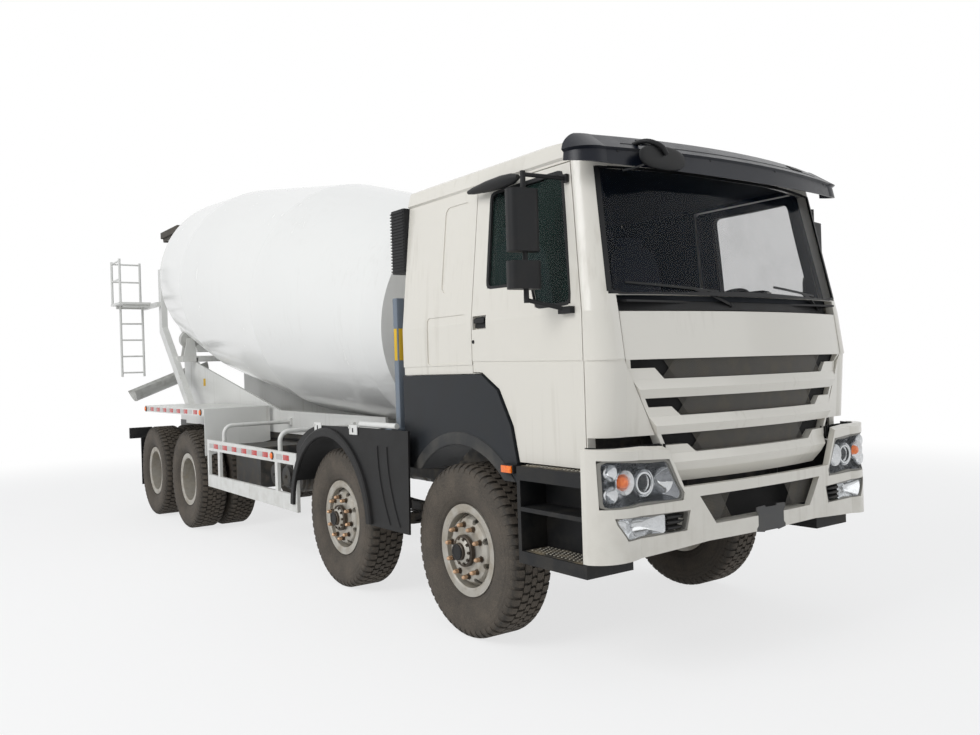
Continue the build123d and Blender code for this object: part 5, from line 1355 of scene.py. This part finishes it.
# air intake behind the cab's corner: a dark case with fins on its rear and its outer side
def makeCabIntake():
    rear, outer, inner = cabIntakeSizes["rear"], cabIntakeSizes["outer"], cabIntakeSizes["inner"]
    low, high = cabIntakeSizes["z"]
    intake = [block((rear, outer, low), (cabIntakeSizes["front"], inner, high), 0.014)]
    heights = np.arange(low + 0.02, high - 0.01, cabIntakeSizes["finGap"])
    rearFins = ((rear - 0.001, outer), (rear - 0.001, inner))
    sideFins = ((rear, outer - 0.001), (3.045, outer - 0.001))
    for start, end in (rearFins, sideFins):
        starts, ends = ([(*point, z) for z in heights] for point in (start, end))
        intake.append(bars(starts, ends, 0.010, 0.007, (0, 0, 1)))
    makePiece("cabIntake", intake, trimBlack, "cab", 30)


# rubber collar on the hopper's mouth: one rectangle a row, up the outside and down the inside
def makeCollar():
    rows = []
    for lift, grow in collarSizes["rows"]:
        outline = rectangle(*(length + 2 * grow for length in collarSizes["size"]), 0.003)
        rows.append(np.stack([collarSizes["middleX"] + outline[:, 0], outline[:, 1],
                              np.full(len(outline), collarSizes["topZ"] + lift)], -1))
    collar = sheet(np.array(rows), closeRows=True, closeColumns=True)
    makePiece("hopperCollar", [collar], flapDusty, "chassis", 30)


makeTape()
makeSteps()
makeArchTrim()
makeTankStraps()
makeHoses()
makePost()
makeCabIntake()
makeCollar()
print("chassis trim made")

studio = {
    "cameraPlace": (axleX["front"] + 4.7493, -4.3408, 1.7469),
    "cameraRight": (0.58684, 0.80909, -0.03144),
    "cameraUp": (0.01869, 0.02528, 0.99951),
    "lens": 32.30148,
    "shift": (-0.00018367, -0.00011224),
    "lookAt": (0.5, 0, 1.3),
    "worldStrength": 0.52,
    "keyPower": 830.0,
    "keyPlace": (3.5, -12.0, 9.5),
    "fillPower": 130.0,
    "fillPlace": (13.0, 5.0, 5.0),
    "lampSize": 7.0,
    "floorHalf": 90,
}


# a new object in the scene
def link(name, data):
    thing = bpy.data.objects.new(name, data)
    bpy.context.scene.collection.objects.link(thing)
    return thing


# camera axes: right, up, and right x up, which points away from what it looks at
def setCamera():
    right = Vector(studio["cameraRight"]).normalized()
    up = Vector(studio["cameraUp"]).normalized()
    data = bpy.data.cameras.new("camera")
    data.lens, data.sensor_width, data.sensor_fit = studio["lens"], 36, "HORIZONTAL"
    data.shift_x, data.shift_y = studio["shift"]
    data.clip_end = 300
    camera = link("camera", data)
    matrix = Matrix((right, up, right.cross(up))).transposed().to_4x4()
    matrix.translation = Vector(studio["cameraPlace"])
    camera.matrix_world = matrix
    bpy.context.scene.camera = camera


# square lamp whose -Z runs from its place to the point looked at
def setLamp(name, place, power):
    data = bpy.data.lights.new(name, "AREA")
    data.energy, data.size = power, studio["lampSize"]
    aim = Vector(studio["lookAt"]) - Vector(place)
    turn = aim.to_track_quat("-Z", "Y").to_matrix().to_4x4()
    link(name, data).matrix_world = Matrix.Translation(place) @ turn


# world: an even sky for the lighting, plain white where it is seen straight, mirrored or through glass
def setWorld():
    world = bpy.data.worlds.new("world")
    bpy.context.scene.world = world
    world.use_nodes = True
    nodes, links = world.node_tree.nodes, world.node_tree.links
    nodes.clear()
    path, mix = nodes.new("ShaderNodeLightPath"), nodes.new("ShaderNodeMixShader")
    seen = path.outputs["Is Camera Ray"]
    for kind in ("Is Transmission Ray", "Is Glossy Ray"):
        either = nodes.new("ShaderNodeMath")
        either.operation = "MAXIMUM"
        links.new(seen, either.inputs[0])
        links.new(path.outputs[kind], either.inputs[1])
        seen = either.outputs[0]
    links.new(seen, mix.inputs[0])
    for place, colour, strength in ((1, (0.93, 0.96, 1.0, 1), studio["worldStrength"]), (2, (1, 1, 1, 1), 1)):
        light = nodes.new("ShaderNodeBackground")
        light.inputs["Color"].default_value = colour
        light.inputs["Strength"].default_value = strength
        links.new(light.outputs[0], mix.inputs[place])
    links.new(mix.outputs[0], nodes.new("ShaderNodeOutputWorld").inputs[0])


# floor: pale, brightened for the eye so that it runs into the background, still taking the shadow
def setFloor():
    half = studio["floorHalf"]
    mesh = bpy.data.meshes.new("floor")
    corners = [(-half, -half, 0), (half, -half, 0), (half, half, 0), (-half, half, 0)]
    mesh.from_pydata(corners, [], [(0, 1, 2, 3)])
    floor = link("floor", mesh)
    f = Finish("floorPaper", Base_Color=(0.86, 0.86, 0.86), Roughness=0.9)
    glow = f.add("Emission", None, {"Color": (1, 1, 1), "Strength": 1.0})
    rays = [f.add("LightPath", output="Is " + kind + " Ray") for kind in ("Camera", "Glossy", "Transmission")]
    seen = (rays[0] + rays[1] + rays[2]).clipped()
    far = (f.axis(0) * f.axis(0) + f.axis(1) * f.axis(1)).rise(40.0, 170.0)
    plain = Wire(f, f.shader.outputs[0])
    mixed = f.add("MixShader", None, {0: seen * (0.72 + far * 0.28), 1: plain, 2: glow})
    f.tree.links.new(mixed.socket, f.output.inputs[0])
    mesh.materials.append(f.material)


setWorld()
setFloor()
setLamp("keyLamp", studio["keyPlace"], studio["keyPower"])
setLamp("fillLamp", studio["fillPlace"], studio["fillPower"])
setCamera()
bpy.context.scene.view_settings.view_transform = "Standard"
print("stage, lamps and camera set")
